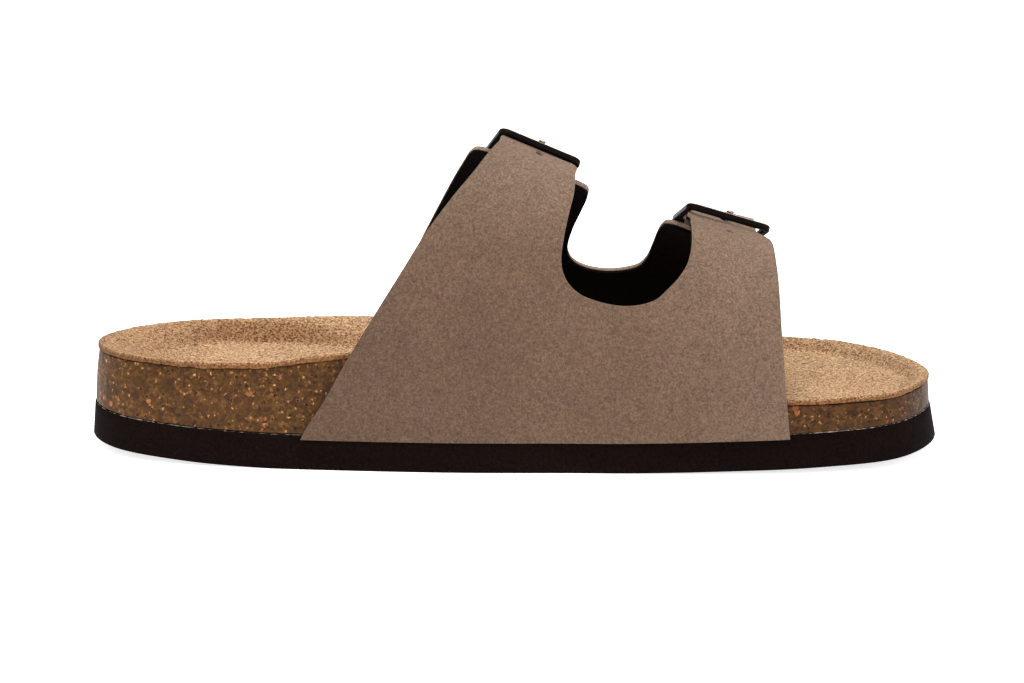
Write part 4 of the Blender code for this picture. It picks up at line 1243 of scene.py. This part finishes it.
def make_keeper(name, seat, across):
    inner = BAR_WIDTH / 2 + SEAT_GAP
    outer = inner + KEEPER_WALL
    foot = -(inner + KEEPER_FOOT)
    turn = np.linspace(0.0, math.pi, 17)
    profile = [(outer * math.cos(a), outer * math.sin(a)) for a in turn]
    profile += [(-outer, foot), (-inner, foot)]
    profile += [(inner * math.cos(a), inner * math.sin(a)) for a in turn[::-1]]
    profile += [(inner, foot), (outer, foot)]
    count = len(profile)
    start = across - KEEPER_WIDTH / 2
    points = [seat.in_frame(start, BAR_PITCH + a, h) for a, h in profile]
    points += [seat.in_frame(start + KEEPER_WIDTH, BAR_PITCH + a, h) for a, h in profile]
    faces = [tuple(range(count)), tuple(range(2 * count - 1, count - 1, -1))]
    for at in range(count):
        after = (at + 1) % count
        faces.append((at, at + count, after + count, after))
    keeper = mesh_object(name, points, faces, [NUBUCK])
    build = bmesh.new()
    build.from_mesh(keeper.data)
    bmesh.ops.recalc_face_normals(build, faces=build.faces)
    build.to_mesh(keeper.data)
    build.free()
    ride(keeper, "upper_leather")


def make_upper():
    rear, front = SEATS["rear"], SEATS["front"]
    medial_loop = np.vstack(
        [
            edge_curve(MEDIAL_REAR_EDGE),
            tongue_loop(rear),
            edge_curve(MEDIAL_NOTCH),
            tongue_loop(front),
            edge_curve(MEDIAL_FRONT_EDGE),
            base_line(
                MEDIAL_FRONT_EDGE[-1][0] * SOLE_LENGTH, MEDIAL_REAR_EDGE[0][0] * SOLE_LENGTH, 0.0
            ),
        ]
    )
    holes = [prong_slot(rear), prong_slot(front)]
    for name, seat in SEATS.items():
        holes += [strap_hole(seat, along) for along in STRAP_HOLES[name]]
    medial = leather_panel("upper_inner_quarter", medial_loop, holes, medial_height)
    ride(medial, "upper_leather", "upper")
    lateral_loop = np.vstack(
        [
            edge_curve(LATERAL_EDGES),
            base_line(LATERAL_EDGES[-1][0] * SOLE_LENGTH, LATERAL_EDGES[0][0] * SOLE_LENGTH, 1.0),
        ]
    )
    lateral = leather_panel("upper_outer_quarter", lateral_loop, [], lateral_height)
    ride(lateral, "upper_leather", "upper")
    for name, seat in SEATS.items():
        for index, side in enumerate((-1, 1)):
            make_keeper(f"keeper_{name}_{index + 1}", seat, side * KEEPER_PLACE)


# Buckles


def rounded_rectangle(half_x, half_y, radius, steps):
    points = []
    for quarter in range(4):
        sign_x = 1 if quarter in (0, 3) else -1
        sign_y = 1 if quarter in (0, 1) else -1
        for step in range(steps + 1):
            angle = math.pi / 2 * (quarter + step / steps)
            x = sign_x * (half_x - radius) + radius * math.cos(angle)
            y = sign_y * (half_y - radius) + radius * math.sin(angle)
            points.append((x, y))
    return points


def curve_to_piece(name, curve, matrix, materials, choose):
    """A mesh piece from a curve, with a material chosen for each face in the curve's own frame."""
    source = link(name + "_curve", curve)
    bpy.context.view_layer.update()
    graph = bpy.context.evaluated_depsgraph_get()
    mesh = bpy.data.meshes.new_from_object(source.evaluated_get(graph))
    bpy.data.objects.remove(source, do_unlink=True)
    mesh.materials.clear()
    for material in materials:
        mesh.materials.append(material)
    picks = [choose(face.center, face.normal) for face in mesh.polygons]
    mesh.polygons.foreach_set("material_index", np.asarray(picks, np.int32))
    mesh.transform(Matrix.Translation(Vector(SHIFT)) @ matrix)
    mesh.shade_smooth()
    mesh.set_sharp_from_angle(angle=math.radians(50.0))
    mesh.name = name
    return link(name, mesh)


def make_buckle_frame(name, seat):
    curve = bpy.data.curves.new(name, "CURVE")
    curve.dimensions = "2D"
    curve.fill_mode = "BOTH"
    curve.bevel_depth = BAR_EDGE
    curve.bevel_resolution = 4
    curve.extrude = BAR_WIDTH / 2 - BAR_EDGE
    outer = BUCKLE_WIDTH / 2, (BAR_PITCH + BAR_WIDTH) / 2
    for inset, radius, steps in ((BAR_EDGE, 0.0024, 12), (BAR_WIDTH - BAR_EDGE, 0.0010, 8)):
        spline = curve.splines.new("POLY")
        points = rounded_rectangle(outer[0] - inset, outer[1] - inset, radius, steps)
        spline.points.add(len(points) - 1)
        for point, (x, y) in zip(spline.points, points):
            point.co = (x, y, 0.0, 1.0)
        spline.use_cyclic_u = True
    centre = seat.in_frame(0.0, BAR_PITCH / 2, 0.0)
    axes = Matrix((seat.across, seat.along, seat.out)).transposed()

    def edge_wear_and_top_light(centre, normal):
        """The upper outer edge has lost its lacquer."""
        outward = Vector((centre.x, centre.y, 0.0)).dot(normal) > 0
        return 1 if outward and 0.30 < normal.z < 0.92 else 0

    place = Matrix.Translation(Vector(centre)) @ axes.to_4x4()
    piece = curve_to_piece(f"buckle_{name}_frame", curve, place, [LACQUER, COPPER], edge_wear_and_top_light)
    ride(piece, "buckle_metal", f"buckle_frame_{name}")


def make_prong(name, seat):
    """A round wire from its hook on the hinge bar, hammered flat where it rests on the outer bar."""
    hook = BAR_WIDTH / 2 + HOOK_GAP + PRONG_RADIUS
    seat_height = BAR_WIDTH / 2 + SEAT_GAP
    rows = []
    for angle in np.linspace(0.0, math.pi / 2, 12):
        rows.append((BAR_PITCH + hook * math.cos(angle), hook * math.sin(angle), angle, 1.0, 1.0))
    for along, wide, flat in (
        (0.26, 1.0, 1.0),
        (0.18, 1.15, 0.92),
        (0.09, 1.55, 0.74),
        (0.04, 1.80, 0.62),
        (-0.020, 1.80, 0.60),
        (-0.034, 1.55, 0.52),
        (-0.042, 1.05, 0.34),
    ):
        out = seat_height + PRONG_RADIUS * (1.0 if wide == 1.0 else flat)
        rows.append((along * BAR_PITCH, out, math.pi / 2, wide, flat))
    count = 24
    points, faces = [], []
    for along, out, angle, wide, flat in rows:
        for turn in np.linspace(0.0, 2 * math.pi, count, endpoint=False):
            across = PRONG_RADIUS * wide * math.cos(turn)
            rise = PRONG_RADIUS * flat * math.sin(turn)
            place = seat.in_frame(across, along + rise * math.cos(angle), out + rise * math.sin(angle))
            points.append(place)
    for level in range(len(rows) - 1):
        for at in range(count):
            after = (at + 1) % count
            low, high = level * count, (level + 1) * count
            faces.append((low + at, low + after, high + after, high + at))
    faces.append(tuple(range(count - 1, -1, -1)))
    faces.append(tuple(range((len(rows) - 1) * count, len(rows) * count)))
    shades = [1 if index >= (len(rows) - 4) * count else 0 for index in range(len(faces))]
    piece = mesh_object(f"buckle_{name}_prong", points, faces, [LACQUER, COPPER], shades, 50.0)
    build = bmesh.new()
    build.from_mesh(piece.data)
    bmesh.ops.recalc_face_normals(build, faces=build.faces)
    build.to_mesh(piece.data)
    build.free()
    ride(piece, "buckle_metal", f"buckle_prong_{name}")


make_outsole()
make_footbed()
make_insole()
make_cement_line()
make_upper()
for buckle_name, buckle_seat in SEATS.items():
    make_buckle_frame(buckle_name, buckle_seat)
    make_prong(buckle_name, buckle_seat)


# Floor, light and camera


def make_floor():
    mesh = bpy.data.meshes.new("studio_floor")
    size = 40.0
    corners = [(-size, -size, 0.0), (size, -size, 0.0), (size, size, 0.0), (-size, size, 0.0)]
    mesh.from_pydata(corners, [], [(0, 1, 2, 3)])
    material, tree, shader = new_material("studio_white")
    shader.inputs["Base Color"].default_value = (0.86, 0.86, 0.86, 1.0)
    shader.inputs["Roughness"].default_value = 1.0
    shader.inputs["Specular IOR Level"].default_value = 0.0
    shader.inputs["Emission Color"].default_value = (1.0, 1.0, 1.0, 1.0)
    shader.inputs["Emission Strength"].default_value = 0.75
    mesh.materials.append(material)
    floor = link("studio_floor", mesh)


def add_light(name, place, aim, size, power):
    data = bpy.data.lights.new(name, "AREA")
    data.shape = "RECTANGLE"
    data.size, data.size_y = size
    data.energy = power
    light = link(name, data)
    light.location = place
    light.rotation_euler = (Vector(aim) - Vector(place)).to_track_quat("-Z", "Y").to_euler()
    return light


def make_camera():
    """The photograph's angle: almost square to the inner side, a little from above."""
    elevation, roll, distance = math.radians(14.65265), math.radians(-0.396), 1.2
    target = Vector((0.134950, 0.0, 0.032254)) + Vector(SHIFT)
    back = Vector((0.0, -math.cos(elevation), math.sin(elevation)))
    right = Vector((1.0, 0.0, 0.0))
    up = Vector((0.0, math.sin(elevation), math.cos(elevation)))
    axis_x = right * math.cos(roll) + up * math.sin(roll)
    axis_y = up * math.cos(roll) - right * math.sin(roll)
    data = bpy.data.cameras.new("photo_camera")
    data.sensor_fit = "HORIZONTAL"
    data.sensor_width = 36.0
    data.lens = 3743.2 / 1024 * 36.0
    data.clip_start, data.clip_end = 0.05, 200.0
    camera = link("photo_camera", data)
    axes = Matrix((axis_x, axis_y, back)).transposed().to_4x4()
    camera.matrix_world = Matrix.Translation(target + back * distance) @ axes
    bpy.context.scene.camera = camera


make_floor()
add_light("top_softbox", (0.10, -0.15, 1.15), (0.0, 0.0, 0.03), (1.1, 0.9), 16.0)
add_light("right_fill", (0.95, -0.75, 0.55), (0.02, 0.0, 0.04), (0.5, 0.5), 3.0)
make_camera()

world = bpy.data.worlds.new("white_studio")
world.use_nodes = True
world.node_tree.nodes["Background"].inputs["Color"].default_value = (1.0, 1.0, 1.0, 1.0)
world.node_tree.nodes["Background"].inputs["Strength"].default_value = 1.0
scene = bpy.context.scene
scene.world = world
scene.view_settings.view_transform = "Standard"
scene.view_settings.look = "None"
